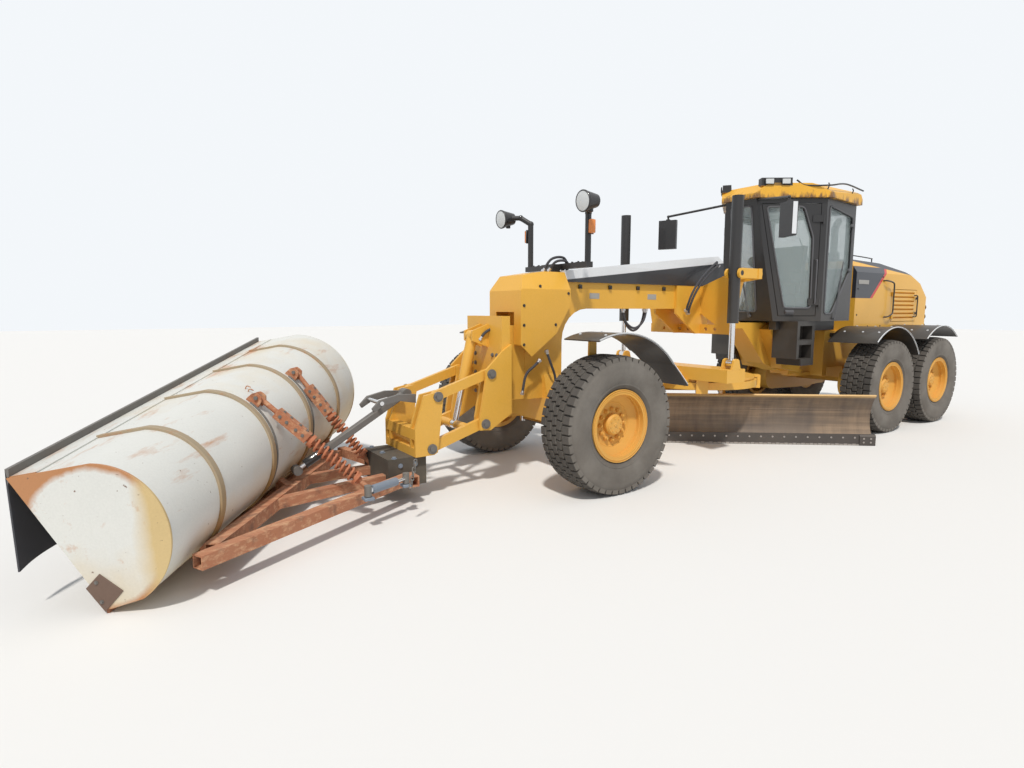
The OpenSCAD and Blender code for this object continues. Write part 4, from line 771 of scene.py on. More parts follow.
class GRADER_OT_wheels(bpy.types.Operator):
    """Adds the nuts, studs, rolled edges and lock rings of the six rims"""
    bl_idname = "grader.wheels"
    bl_label = "Wheel nuts and rings"

    def execute(self, context):
        # Washer, nut, its chamfer and stud: heights from and to, radii and sides
        nut = ((0.049, 0.054, 0.0245, 0.0245, 20), (0.054, 0.071, 0.0215, 0.0215, 6),
               (0.071, 0.0745, 0.0215, 0.0165, 6), (0.081, 0.088, 0.0105, 0.0105, 12))
        rings = (((0.3440, 0.184), (0.3440, 0.1905), (0.3465, 0.1935), (0.3510, 0.1935), (0.3535, 0.1905),
                  (0.3535, 0.184)),
                 ((0.3235, 0.184), (0.3245, 0.1895), (0.3280, 0.1915), (0.3360, 0.1905), (0.3385, 0.184)),
                 ((0.3060, 0.116), (0.2985, 0.119), (0.2985, 0.134), (0.3060, 0.137)),
                 ((0.2140, 0.046), (0.2140, 0.0545), (0.2180, 0.0575), (0.2250, 0.0560), (0.2290, 0.050)))
        for place in WHEEL_X:
            for side, word in SIDES:
                bm = bmesh.new()
                for i in range(12):
                    a = math.radians(30 * i)
                    x, y = 0.151 * math.cos(a), 0.151 * math.sin(a)
                    for low, high, r, r2, sides in nut:
                        add_rod(bm, (x, y, low), (x, y, high), r, r2, sides)
                for i in range(8):
                    a = math.radians(45 * i + 12)
                    x, y = 0.066 * math.cos(a), 0.066 * math.sin(a)
                    add_rod(bm, (x, y, 0.1135), (x, y, 0.1205), 0.0085, sides=6)
                add_rod(bm, (0, 0, 0.113), (0, 0, 0.120), 0.020, 0.016)
                for outline in rings:
                    add_spin(bm, outline, 72)
                keep(bm, f"wheel_{place}_{word}_nuts", ("wheel_yellow",), f"wheel_{place}_{word}", 30,
                     at_wheel(place, side))
        return {"FINISHED"}


class GRADER_OT_plow(bpy.types.Operator):
    """Rolls the plow's sheet and sets its ribs, end plates, lip plate, edge and rubber on it"""
    bl_idname = "grader.plow"
    bl_label = "Plow"

    def sheet(self):
        rows, columns = 60, ROLL_STEPS + TOP_STEPS + 1
        # Dents: where along the plow, at which point of its line, how wide and how deep
        dents = ((0.24, 27, 0.17, 0.010), (0.52, 20, 0.20, 0.012), (0.72, 33, 0.16, 0.010),
                 (0.08, 12, 0.12, 0.008), (0.33, 38, 0.15, 0.009), (0.90, 24, 0.15, 0.009))
        bm = bmesh.new()
        rims = []
        for out in (0.0, PLOW_T):
            lines = [plow_line(row / rows, out) for row in range(rows + 1)]
            made = bmesh.ops.create_grid(bm, x_segments=columns, y_segments=rows, size=0.5)["verts"]
            for v in made:
                row = round((0.5 - v.co.y) * rows)
                i = round((v.co.x + 0.5) * columns)
                t = row / rows
                p = lines[row][i]
                push = sum(deep * math.exp(-(((t - dt) * PLOW_L / wide) ** 2 + ((i - di) / 4.5) ** 2))
                           for dt, di, wide, deep in dents)
                p = p + (roll(t)[0] - p).normalized() * push
                v.co = (p.x, -t * PLOW_L, p.y)
            rims += [e for e in {e for v in made for e in v.link_edges} if e.is_boundary]
        bmesh.ops.bridge_loops(bm, edges=rims)
        keep(bm, "plow_sheet", ("plow_white",), "plow", 50, AT_PLOW, ("plow_shell",))

    def band(self, bm, t, end, half, high, share=0.0):
        """A strap round the roll from its foot to an angle, and on along a share of the lip plate."""
        start, steps, soft = 243, 30, 0.003
        profile = ((-half, -0.004), (-half, high - soft), (soft - half, high), (half - soft, high),
                   (half, high - soft), (half, -0.004))
        rings = [[on_roll(t, start + (end - start) * i / steps, h) + Vector((0, w, 0)) for w, h in profile]
                 for i in range(steps + 1)]
        if share:
            rings.append([on_lip(t, share) + Vector((0, w, h)) for w, h in profile])
        return add_loft(bm, rings)

    def along_lip(self, bm, corners):
        """A bar along the lip; each corner is its share of the lip plate, X past that, and height."""
        return add_loft(bm, [[on_lip(t, share) + Vector((dx, 0, h)) for share, dx, h in corners]
                             for t in (0, 0.25, 0.5, 0.75, 1)])

    def execute(self, context):
        self.sheet()
        bm = bmesh.new()
        for i in range(RIBS):
            self.band(bm, 0.16 + 0.68 * i / (RIBS - 1), 90, 0.030, 0.016, 0.68)
        for t in (0.405, 0.634):
            paint(self.band(bm, t, 128, 0.008, 0.012), 2)
        plate = ((0.66, 0, -0.002), (0.66, 0, 0.009), (1, 0, 0.009), (1, 0, -0.002))
        angle = ((1, -0.012, 0.004), (1, -0.012, 0.058), (1, 0.010, 0.058), (1, 0.010, -0.040),
                 (1, 0.001, -0.040), (1, 0.001, 0.004))
        paint(self.along_lip(bm, plate), 1)
        paint(self.along_lip(bm, angle), 2)
        off = 0.0003
        for t, y, through in ((0, off, PLOW_T - off), (1, -PLOW_L - off, off - PLOW_T)):
            line = plow_line(t, PLOW_T + 0.006) + [Vector((0, 0.030))]
            paint(add_slab(bm, line, through, 0.0015, y), 1)
        edge = ((0, 0), (0.016, 0), (0.022, 0.060), (-0.180, 0.130), (-0.186, 0.118), (-0.002, 0.050))
        paint(add_slab(bm, edge, -PLOW_L, 0.001), 3)
        patch = ((0.118, 0.158), (0.031, 0.249), (-0.103, 0.146), (0.014, 0.016))
        patch_t = 0.006
        paint(add_slab(bm, patch, patch_t, 0.0015, PLOW_T), 4)
        spots = [(x, PLOW_T + patch_t, z) for x, z in ((0.052, 0.196), (0.028, 0.078))]
        paint(add_bolts(bm, spots, (0, 1, 0), 0.009, 0.006), 2)
        spots = [(0.019, -0.13 - 0.262 * i, 0.032) for i in range(14)]
        paint(add_bolts(bm, spots, (1, 0, -0.1), 0.011, 0.007), 2)
        for t in SPRING_T:
            c, r = roll(t)
            turn = (Matrix.Translation((c.x, -t * PLOW_L, c.y))
                    @ Matrix.Rotation(math.radians(-SPRING_DEGREES), 4, "Y"))
            foot = r + PLOW_T
            ear = ((foot - 0.006, -0.060), (foot + 0.060, -0.050), (foot + 0.086, -0.030), (foot + 0.090, 0),
                   (foot + 0.086, 0.030), (foot + 0.060, 0.050), (foot - 0.006, 0.060))
            for w in (-0.042, 0.042):
                cheek = add_slab(bm, ear, 0.020, 0.002, w - 0.010)
                bmesh.ops.transform(bm, matrix=turn, verts=cheek)
                paint(cheek, 3)
            pin = add_rod(bm, (foot + SPRING_OUT, -0.066, 0), (foot + SPRING_OUT, 0.066, 0), 0.016)
            bmesh.ops.transform(bm, matrix=turn, verts=pin)
            paint(pin, 2)
        for t, degrees in ((0.445, 118), (0.452, 114)):
            foot = on_roll(t, degrees, -0.004)
            up, along = round_y(degrees), round_y(degrees + 90)
            hook = [foot + up * rise + along * way
                    for rise, way in ((0, 0), (0.026, 0), (0.034, 0.012), (0.034, 0.036))]
            paint(add_tube(bm, hook, 0.0045, sides=8, bend=4), 3)
        materials = ("rib_tan", "plow_white", "grey_steel", "push_rust_and_glint", "patch_brown")
        keep(bm, "plow_ribs", materials, "plow", 35, AT_PLOW, ("plow_frame",))
        bm = bmesh.new()
        made = bmesh.ops.create_grid(bm, x_segments=90, y_segments=12, size=0.5)["verts"]
        for v in made:
            t = 0.5 - v.co.x
            down = 0.5 - v.co.y
            lip = LIP_LOW.lerp(LIP_HIGH, t)
            wave = down * (0.016 * (math.sin(t * 37) - 1) + 0.022 * (math.sin(t * 13 + 1) - 1))
            v.co = (lip.x + 0.001 + wave, -t * PLOW_L, lip.y + PLOW_T - FLAP_DROP * down)
        bmesh.ops.recalc_face_normals(bm, faces=bm.faces)
        bmesh.ops.solidify(bm, geom=bm.faces[:], thickness=0.010)
        keep(bm, "plow_rubber", ("rubber",), "plow", 40, AT_PLOW, ("plow_flap",))
        return {"FINISHED"}


def spring_line(i):
    """Foot and head of a trip spring's rod, in the row frame."""
    near = AT_PLOW @ Vector((-0.430, -0.200, 0.230))
    far = AT_PLOW @ Vector((-0.430, -PLOW_L + 0.500, 0.230))
    if i == 0:
        foot = machine(1.790, 0.330, 0.230).lerp(near, 0.25) + Vector((0, 0, 0.040))
    else:
        foot = machine(1.790, -0.180, 0.230).lerp(far.lerp(near, 0.38), 0.2) + Vector((0, 0, 0.036))
    return foot, AT_PLOW @ on_roll(SPRING_T[i], SPRING_DEGREES, SPRING_OUT)


class GRADER_OT_springs(bpy.types.Operator):
    """Winds the two trip springs and bolts their bars"""
    bl_idname = "grader.springs"
    bl_label = "Trip springs"

    def execute(self, context):
        bm = bmesh.new()
        # Plates and nuts along a rod: shares of its length from and to, radius and sides
        along = ((0.112, 0.13, 0.060, 28), (0.52, 0.545, 0.056, 28), (0.09, 0.112, 0.036, 6),
                 (0.545, 0.565, 0.030, 6))
        for i in (0, 1):
            foot, head = spring_line(i)
            coil = helix(foot.lerp(head, 0.13), foot.lerp(head, 0.52), 0.049, 10, 16)
            add_tube(bm, coil, 0.0098, sides=8)
            for a, b, r, sides in along:
                add_rod(bm, foot.lerp(head, a), foot.lerp(head, b), r, sides=sides)
        keep(bm, "trip_coils", ("spring_rust",), "plow", 40, ROW, ("trip_springs",))
        bm = bmesh.new()
        for i in (0, 1):
            foot, head = spring_line(i)
            way = (head - foot).normalized()
            across = Vector((-way.y, way.x, 0)).normalized()
            up = way.cross(across)
            up = up if up.z > 0 else -up
            for normal in (across, -across, up):
                spots = [foot.lerp(head, share) + normal * 0.0425 for share in (0.60, 0.66, 0.74, 0.80)]
                add_bolts(bm, spots, normal, 0.011, 0.008)
        keep(bm, "spring_bar_bolts", ("grey_steel",), "plow", 35, ROW)
        return {"FINISHED"}


class GRADER_OT_cab(bpy.types.Operator):
    """Sets the seals, handles, wipers, roof rail, lamps and mirror glass on the cab"""
    bl_idname = "grader.cab"
    bl_label = "Cab trim"

    def wiper(self, bm, pivot, tip, out):
        """A double arm from its pivot to a blade, held off the glass."""
        pivot, tip, out = Vector(pivot), Vector(tip), Vector(out)
        way = (tip - pivot).normalized()
        across = way.cross(out).normalized()
        add_rod(bm, pivot, pivot + out * 0.030, 0.020)
        for w in (-0.012, 0.012):
            add_tube(bm, [pivot + across * w + out * 0.020, pivot + across * w + way * 0.08 + out * 0.026,
                          tip + across * w * 0.6 - way * 0.20 + out * 0.020], 0.005, sides=8)
        add_tube(bm, [tip - way * 0.46 + out * 0.010, tip + out * 0.010], 0.008, sides=8)
        for share in (0.40, 0.27, 0.12, 0.02):
            clip = tip - way * share
            add_rod(bm, clip + out * 0.006, clip + out * 0.024, 0.006, sides=8)

    def doors(self):
        handle = ((1.86, 0.0), (1.862, 0.03), (1.89, 0.048), (2.15, 0.050), (2.42, 0.048), (2.448, 0.03),
                  (2.45, 0.0))
        latch_z = 1.745
        for side, word in SIDES:
            bm = bmesh.new()
            add_seal(bm, [door_place(x, z, 0.002, side) for x, z in DOOR_WINDOW], 0.05)
            add_tube(bm, [door_place(-4.105, z, out, side) for z, out in handle], 0.010, bend=4)
            turn = (Matrix.Translation(door_place(-3.845, latch_z, 0.0, side))
                    @ Matrix.Rotation(-DOOR_SLOPE * side, 4, "Z"))
            y0, y1 = sorted((-0.004 * side, 0.016 * side))
            add_box(bm, (-0.060, y0, -0.032), (0.060, y1, 0.032), 0.006, turn, 2)
            lever = ((-3.80, 0.014), (-3.80, 0.034), (-3.89, 0.036))
            add_tube(bm, [door_place(x, latch_z, out, side) for x, out in lever], 0.008)
            spots = [door_place(x, z + dz, 0.001, side)
                     for z in (1.885, 3.005) for x in (-4.119, -4.087) for dz in (-0.022, 0.022)]
            add_bolts(bm, spots, door_place(0, 0, 1, side) - door_place(0, 0, 0, side), 0.008, 0.006)
            keep(bm, f"door_{word}_trim", ("trim",), f"door_{word}")

    def windows(self):
        bm = bmesh.new()
        add_seal(bm, [quarter_place(x, z, 0.002) for x, z in QUARTER_WINDOW], 0.06)
        for z in (2.35, 2.98):
            add_box(bm, (-0.035, 0.0, -0.020), (0.035, 0.022, 0.020), 0.005,
                    Matrix.Translation(quarter_place(-5.02, z)))
        self.wiper(bm, quarter_place(-4.585, 1.66), quarter_place(-4.800, 2.46), (0, 1, 0))
        both_sides(bm)
        screen = ((-0.165, 1.75), (0.165, 1.75), (0.165, 3.19), (-0.165, 3.19))
        add_seal(bm, [screen_place(y, z, 0.002) for y, z in screen], 0.04)
        self.wiper(bm, screen_place(0.06, 1.69), screen_place(-0.05, 2.42), (0.989, 0, -0.149))
        rear = ((-0.59, 2.38), (0.59, 2.38), (0.59, 3.18), (-0.59, 3.18))
        add_seal(bm, [(-5.152, y, z) for y, z in rear], 0.06)
        self.wiper(bm, (-5.150, 0.10, 2.34), (-5.150, -0.16, 2.90), (-1, 0, 0))
        keep(bm, "cab_seals", ("trim",), "front_frame")

    def roof(self):
        bm = bmesh.new()
        rail = ((-3.811, 0.573, 3.505), (-3.911, 0.647, 3.437), (-4.165, 0.834, 3.434),
                (-4.592, 0.821, 3.497), (-5.190, 0.759, 3.479))
        add_tube(bm, rail, 0.011, bend=8)
        for x, y in ((-4.17, 0.80), (-4.85, 0.77)):
            add_tube(bm, ((x, y, 3.38), (x, y + 0.025, 3.44), (x, y + 0.012, 3.47)), 0.008)
        out = Vector((-VISOR_WAY.y, VISOR_WAY.x, 0))
        for w in (-0.110, 0.110):
            turn = (Matrix.Translation(VISOR + VISOR_WAY * w + out * 0.055)
                    @ Matrix.Rotation(-DOOR_SLOPE, 4, "Z"))
            add_box(bm, (-0.062, 0.0, -0.040), (0.062, 0.014, 0.040), 0.006, turn)
            paint(add_box(bm, (-0.053, 0.012, -0.032), (0.053, 0.020, 0.032), 0.004, turn), 1)
        for y in (0.28, 0.58):
            add_box(bm, (-5.235, y - 0.06, 3.33), (-5.195, y + 0.06, 3.42), 0.006)
            paint(add_box(bm, (-5.243, y - 0.05, 3.34), (-5.233, y + 0.05, 3.41), 0.003), 1)
        both_sides(bm)
        keep(bm, "roof_lamps", ("black", "lens"), "front_frame")

    def mirrors(self):
        bm = bmesh.new()
        rim = ((-0.124, -0.204), (0.124, -0.204), (0.124, 0.204), (-0.124, 0.204))
        for side, _ in SIDES:
            turn = (Matrix.Translation((-3.040, side * 0.960, 2.885))
                    @ Matrix.Rotation(math.radians(-25 * side), 4, "Z"))
            paint(add_box(bm, (-0.0375, -0.116, -0.196), (-0.0352, 0.116, 0.196), 0.0008, turn), 1)
            add_seal(bm, [turn @ Vector((-0.036, y, z)) for y, z in rim], 0.03, 0.006)
            y = side * 0.1305
            paint(add_box(bm, (-0.030, y - 0.002, -0.19), (0.028, y + 0.002, 0.19), matrix=turn), 2)
            add_box(bm, (-0.016, -0.030, 0.200), (0.016, 0.030, 0.226), 0.004, turn)
        keep(bm, "mirror_glass", ("black", "chrome", "pale_edge"), "front_frame")

    def execute(self, context):
        self.doors()
        self.windows()
        self.roof()
        self.mirrors()
        return {"FINISHED"}


class GRADER_OT_lamps(bpy.types.Operator):
    """Glazes the headlamps and adds signals, tail lamps and lamp bolts"""
    bl_idname = "grader.lamps"
    bl_label = "Lamps"

    def execute(self, context):
        bm = bmesh.new()
        front, back = Vector((0.065, 0.735, 2.832)), Vector((-0.100, 0.735, 2.848))
        m = Matrix.Translation(front) @ frame_along(back, front).to_3x3().to_4x4()
        dish = ((0.0005, 0.001), (0.0960, 0.001), (0.0940, 0.008), (0.0700, 0.015), (0.0350, 0.019),
                (0.0005, 0.020))
        rim = ((0.094, -0.010), (0.1055, -0.010), (0.1075, 0.004), (0.1020, 0.012), (0.094, 0.008))
        paint(add_spin(bm, dish, 40, m), 1)
        add_spin(bm, rim, 40, m)
        add_box(bm, (-0.055, 0.715, 2.735), (-0.010, 0.755, 2.775), 0.006)
        paint(add_box(bm, (-0.235, 0.545, 2.560), (-0.165, 0.590, 2.700), 0.010, segments=2), 2)
        add_box(bm, (-0.242, 0.536, 2.552), (-0.158, 0.556, 2.708), 0.006)
        spots = [(x, y, 2.2755) for x in (-0.225, -0.165) for y in (0.40, 0.30)]
        add_bolts(bm, spots, (0, 0, 1), 0.011, 0.009)
        both_sides(bm)
        keep(bm, "head_lamps", ("black", "lens", "amber"), "front_frame")
        bm = bmesh.new()
        dish = ((0.0005, 0.006), (0.050, 0.006), (0.047, 0.016), (0.025, 0.021), (0.0005, 0.022))
        rim = ((0.048, 0.0), (0.058, 0.0), (0.058, 0.010), (0.048, 0.014))
        for z, colour in ((1.50, 1), (1.66, 2), (1.82, 1)):
            m = Matrix.Translation((TAIL_X, 0.497, z)) @ Matrix.Rotation(math.radians(-90), 4, "Y")
            paint(add_spin(bm, dish, 28, m), colour)
            add_spin(bm, rim, 28, m)
        both_sides(bm)
        keep(bm, "tail_lamps", ("black", "red_lens", "amber"), "rear_machine")
        return {"FINISHED"}


class GRADER_OT_hood(bpy.types.Operator):
    """Adds the rails, blank plates, latches and bolts of the engine enclosure"""
    bl_idname = "grader.hood"
    bl_label = "Hood trim"

    def execute(self, context):
        bm = bmesh.new()
        y = HOOD_HALF
        paint(add_box(bm, (-5.95, y + 0.0002, 2.172), (-5.64, y + 0.0055, 2.236), 0.003), 1)
        rail = ((-6.42, y, 2.24), (-6.44, 0.612, 2.24), (-6.62, 0.620, 2.215), (-6.665, 0.620, 2.15),
                (-6.665, 0.620, 1.95), (-6.665, 0.620, 1.74), (-6.60, 0.616, 1.69), (-6.52, 0.608, 1.665),
                (-6.50, y, 1.66))
        add_tube(bm, rail, 0.012, bend=5)
        top = ((-5.66, 2.54), (-5.66, 2.60), (-5.69, 2.618), (-6.28, 2.598), (-6.32, 2.580), (-6.32, 2.51))
        add_tube(bm, [(x, 0.40, z) for x, z in top], 0.009, bend=5)
        spots = ((-5.64, 2.10), (-5.64, 1.70), (-6.40, 1.52), (-6.00, 1.52), (-5.64, 1.52), (-6.40, 2.30))
        add_bolts(bm, [(x, y, z) for x, z in spots], (0, 1, 0), 0.010, 0.006)
        spots = [(x, 0.35, 2.553 + (x + 5.57) * 0.034 if x > -6.47 else 2.525 + (x + 6.47) * 0.16)
                 for x in (-5.75, -6.05, -6.35, -6.65, -6.95)]
        add_bolts(bm, spots, (0.05, 0, 1), 0.010, 0.006)
        both_sides(bm)
        keep(bm, "hood_rails", ("black", "sign_grey"), "rear_machine")
        y = 0.5745
        bar = ((0, 1.66), (0.045, 1.665), (0.055, 1.70), (0.055, 1.84), (0.055, 1.98), (0.045, 2.015),
               (0, 2.02))
        for side, word in SIDES:
            bm = bmesh.new()
            add_tube(bm, [(-7.50, y + out, z) for out, z in bar], 0.010, bend=4)
            for z in (1.72, 1.97):
                add_box(bm, (-7.600, y - 0.002, z - 0.022), (-7.555, y + 0.012, z + 0.022), 0.004)
            add_bolts(bm, [(-7.578, y + 0.011, z) for z in (1.72, 1.97)], (0, 1, 0), 0.009, 0.004)
            keep(bm, f"engine_door_{word}_rail", ("black",), f"engine_door_{word}", place=AT_SIDE[side])
        bm = bmesh.new()
        for i in range(21):
            y = -0.40 + 0.04 * i
            add_box(bm, (-8.040, y - 0.003, 1.43), (-8.030, y + 0.003, 1.92))
        spots = [(TAIL_X, y, z) for y in (-0.415, 0.415) for z in (1.42, 1.675, 1.93)]
        add_bolts(bm, spots, (-1, 0, 0), 0.010, 0.006)
        spots = [(-8.03, y, z) for y in (-0.75, -0.55, 0.55, 0.75) for z in (0.90, 0.99)]
        add_bolts(bm, spots, (-1, 0, 0), 0.014, 0.010)
        keep(bm, "rear_mesh", ("trim",), "rear_machine")
        return {"FINISHED"}


class GRADER_OT_fenders(bpy.types.Operator):
    """Edges the fenders with near-white lips, a painted highlight of the sun on their rolled edges, and bolts
    their stays
    """
    bl_idname = "grader.fenders"
    bl_label = "Fender lips"

    def bolts(self, bm, x, r, angles, across):
        for degrees in angles:
            up = round_y(degrees)
            add_bolts(bm, [Vector((x, y, AXLE_Z)) + up * r for y in across], up, 0.011, 0.007)

    def execute(self, context):
        edge = 1.285
        bm = bmesh.new()
        for place, start, end in (("mid", 50, 149), ("rear", 51, 127)):
            # The lips are near-white: a painted highlight of the sun along the fender edges
            add_tube(bm, arc(WHEEL_X[place], 0.856, start, end, edge), 0.0085, sides=8)
            self.bolts(bm, WHEEL_X[place], 0.860, (66, 90, 112), (0.72, 0.98, 1.20))
        both_sides(bm)
        keep(bm, "rear_fender_lips", ("pale_edge",), "rear_machine")
        for side, word in SIDES:
            bm = bmesh.new()
            # The front lips are near-white too: a painted highlight of the sun
            line = arc(0, 0.882, 69, 140, edge) + [Vector((-0.78, edge, 1.14)), Vector((-0.895, edge, 1.02))]
            add_tube(bm, line, 0.0085, sides=8)
            self.bolts(bm, 0, 0.887, (78, 96, 114, 132), (0.86, 1.22))
            keep(bm, f"front_fender_{word}_lip", ("pale_edge",), f"steer_{word}", place=AT_SIDE[side])
        return {"FINISHED"}


class GRADER_OT_hoses(bpy.types.Operator):
    """Runs the hydraulic hoses with their crimped ends along the frame and the lift group"""
    bl_idname = "grader.hoses"
    bl_label = "Hoses"

    def execute(self, context):
        r = context.scene.grader_sizes.hose_radius
        # Drops under the frame, as X back from the port and Z from the beam, in millimetres
        loop = ((0, 0), (0, -50), (34, -140), (105, -205), (190, -232), (275, -205), (346, -140), (380, -50),
                (380, 0))
        sweep = ((-2.700, 0.196, 2.380), (-2.650, 0.240, 2.392), (-2.570, 0.290, 2.380),
                 (-2.440, 0.325, 2.320), (-2.300, 0.335, 2.225), (-2.180, 0.335, 2.120),
                 (-2.095, 0.325, 2.000), (-2.062, 0.300, 1.890), (-2.070, 0.262, 1.805),
                 (-2.080, 0.250, 1.770), (-2.080, 0.216, 1.770))
        runs = []
        for d in (0, 1):
            runs.append([((-1110 - 60 * d - x * (1 - 0.1 * d)) / 1000, (115 - 55 * d) / 1000,
                          BEAM_Z + z * (1 + 0.14 * d) / 1000) for x, z in loop])
            runs.append([(x - 0.034 * d, y, z - 0.034 * d) for x, y, z in sweep])
        runs += [((0.218, 0.25, 1.249), (0.300, 0.262, 1.19), (0.399, 0.250, 1.100), (0.450, 0.25, 0.893)),
                 ((0.139, 0.25, 1.352), (0.080, 0.262, 1.20), (0.020, 0.250, 1.080), (0.000, 0.25, 0.967)),
                 ((-0.160, 0.150, 2.150), (-0.210, 0.175, 2.235), (-0.165, 0.190, 2.300),
                  (-0.060, 0.150, 2.290), (-0.010, 0.080, 2.190)),
                 ((-0.180, 0.090, 2.170), (-0.240, 0.105, 2.290), (-0.170, 0.120, 2.345),
                  (-0.050, 0.080, 2.320), (0.020, 0.020, 2.185)),
                 ((0.860, 0.075, 1.470), (0.790, 0.110, 1.560), (0.640, 0.120, 1.600),
                  (0.520, 0.110, 1.520), (0.490, 0.100, 1.420))]
        bm = bmesh.new()
        for run in runs:
            line = curve_points(run, 6)
            add_tube(bm, line, r, sides=12)
            for a, b in ((line[0], line[1]), (line[-1], line[-2])):
                way = (b - a).normalized()
                paint(add_rod(bm, a, a + way * 0.045, r * 1.25, sides=16), 1)
                paint(add_rod(bm, a + way * 0.004, a + way * 0.022, r * 1.75, sides=6), 1)
        keep(bm, "frame_hoses", ("rubber", "steel"), "front_frame", replaces=("hoses",))
        return {"FINISHED"}


class GRADER_OT_blade(bpy.types.Operator):
    """Bolts the cutting edge and its end bits to the moldboard"""
    bl_idname = "grader.blade"
    bl_label = "Blade bolts"

    def execute(self, context):
        bm = bmesh.new()
        reach = BLADE_HALF - 0.25
        spots = [(EDGE_FACE + 0.0005, BLADE_SHIFT - reach + 2 * reach * i / 21, 0.105) for i in range(22)]
        add_bolts(bm, spots, (1, 0, 0), 0.013, 0.004, washer=False)
        spots = [(0.2285, BLADE_SHIFT + end * (BLADE_HALF - dy), z)
                 for end in (-1, 1) for dy in (0.05, 0.14) for z in (0.045, 0.095)]
        add_bolts(bm, spots, (1, 0, 0), 0.013, 0.004, washer=False)
        reach = BLADE_HALF - 0.20
        for i in range(61):
            y = BLADE_SHIFT - reach + 2 * reach * i / 60
            add_box(bm, (EDGE_FACE, y - 0.0245, 0.0035),
                    (EDGE_FACE + 0.0045, y + 0.0245, 0.020 + 0.004 * (i % 2)), 0.001)
        keep(bm, "blade_bolts", ("worn_steel",), "blade", 35, AT_CIRCLE)
        return {"FINISHED"}


class GRADER_OT_lift(bpy.types.Operator):
    """Adds the rams, chain, jaws, pins and bolts round the front lift and the push frame"""
    bl_idname = "grader.lift"
    bl_label = "Lift group"

    def rod(self, bm, line, start, end, r, colour):
        """A rod along a share of a line."""
        paint(add_rod(bm, line[0].lerp(line[1], start), line[0].lerp(line[1], end), r), colour)

    def pin(self, bm, middle, half, r):
        paint(add_rod(bm, middle - half, middle + half, r, sides=24), 2)

    def push_rams(self):
        bm = bmesh.new()
        ram = (Vector((2.352, 0.814, 0.330)), Vector((1.943, 0.636, 0.330)))
        self.rod(bm, ram, 0.10, 0.72, 0.036, 0)
        self.rod(bm, ram, 0.68, 1, 0.017, 1)
        self.rod(bm, ram, 0, 0.12, 0.024, 1)
        for end in ram:
            self.pin(bm, end, Vector((0, 0, 0.045)), 0.030)
            add_box(bm, end + Vector((-0.042, -0.042, -0.075)), end + Vector((0.042, 0.042, -0.050)), 0.004)
        strut = (Vector((1.655, 0.0, 0.979)), Vector((2.445, 0.0, 0.520)))
        paint(add_box(bm, (-0.036, -0.030, 0), (0.036, 0.030, (strut[1] - strut[0]).length), 0.006,
                      frame_along(*strut)), 2)
        cylinder = (strut[1], Vector((2.700, 0.0, 0.372)))
        self.rod(bm, cylinder, -0.15, 0.72, 0.042, 3)
        self.rod(bm, cylinder, 0.70, 1, 0.020, 1)
        for end, r in ((strut[0], 0.045), (cylinder[1], 0.040)):
            self.pin(bm, end, Vector((0, 0.055, 0)), r)
        jaw = ((1.62, 0.90), (1.62, 0.985), (1.80, 0.995), (1.98, 0.955), (2.055, 0.880), (2.035, 0.845),
               (1.940, 0.900), (1.78, 0.930))
        for y in (-0.16, 0.16):
            paint(add_slab(bm, jaw, 0.028, 0.003, y - 0.014), 2)
        paint(add_rod(bm, (1.965, -0.190, 0.925), (1.965, 0.190, 0.925), 0.020), 1)
        link = ((-0.012, -0.022), (0.012, -0.022), (0.012, 0.022), (-0.012, 0.022))
        for i in range(7):
            turn = (Matrix.Translation((2.010 - 0.006 * i, 0.880 + 0.004 * i, 0.330 + 0.034 * i))
                    @ Matrix.Rotation(math.radians(90 * (i % 2)), 4, "Z"))
            paint(add_seal(bm, [turn @ Vector((x, 0, z)) for x, z in link], 0.011, 0.0052, 3), 2)
        spots = [(x, y, 0.4197) for x in (1.66, 1.90) for y in (0.28, -0.28, 0)]
        add_bolts(bm, spots, (0, 0, 1), 0.020, 0.014)
        for side, _ in SIDES:
            spots = [(x, side * 0.305, z) for x in (1.70, 1.85) for z in (0.22, 0.35)]
            add_bolts(bm, spots, (0, side, 0), 0.017, 0.012)
        keep(bm, "push_rams", ("ram_blue", "chrome", "grey_steel", "hood_black"), "plow")

    def side_pins(self, bm, spots, y):
        """A washer, a pin's head and its lock bolt at each place in X and Z; y is how far out each is."""
        for x, z in spots:
            add_rod(bm, (x, y[0], z), (x, y[0] + y[1], z), 0.048, sides=32)
            add_rod(bm, (x, y[2], z), (x, y[2] + y[3], z), 0.026, sides=24)
            add_bolts(bm, [(x + 0.036, y[4], z + 0.012)], (0, 1, 0), 0.007, 0.006)

    def execute(self, context):
        self.push_rams()
        bm = bmesh.new()
        self.side_pins(bm, ((0.900, 1.150), (0.970, 0.660)), (0.370, 0.015, 0.380, 0.015, 0.384))
        spots = [(0.7605, y, z) for z in (0.92, 1.02, 1.12, 1.22, 1.32) for y in (0.17, 0.25)]
        add_bolts(bm, spots, (1, 0, 0), 0.017, 0.012)
        both_sides(bm)
        keep(bm, "mast_pins", ("grey_steel",), "front_frame")
        bm = bmesh.new()
        self.side_pins(bm, ((1.550, 0.480), (1.480, 0.970)), (0.356, 0.014, 0.368, 0.014, 0.369))
        both_sides(bm)
        keep(bm, "coupler_pins", ("grey_steel",), "plow")
        return {"FINISHED"}


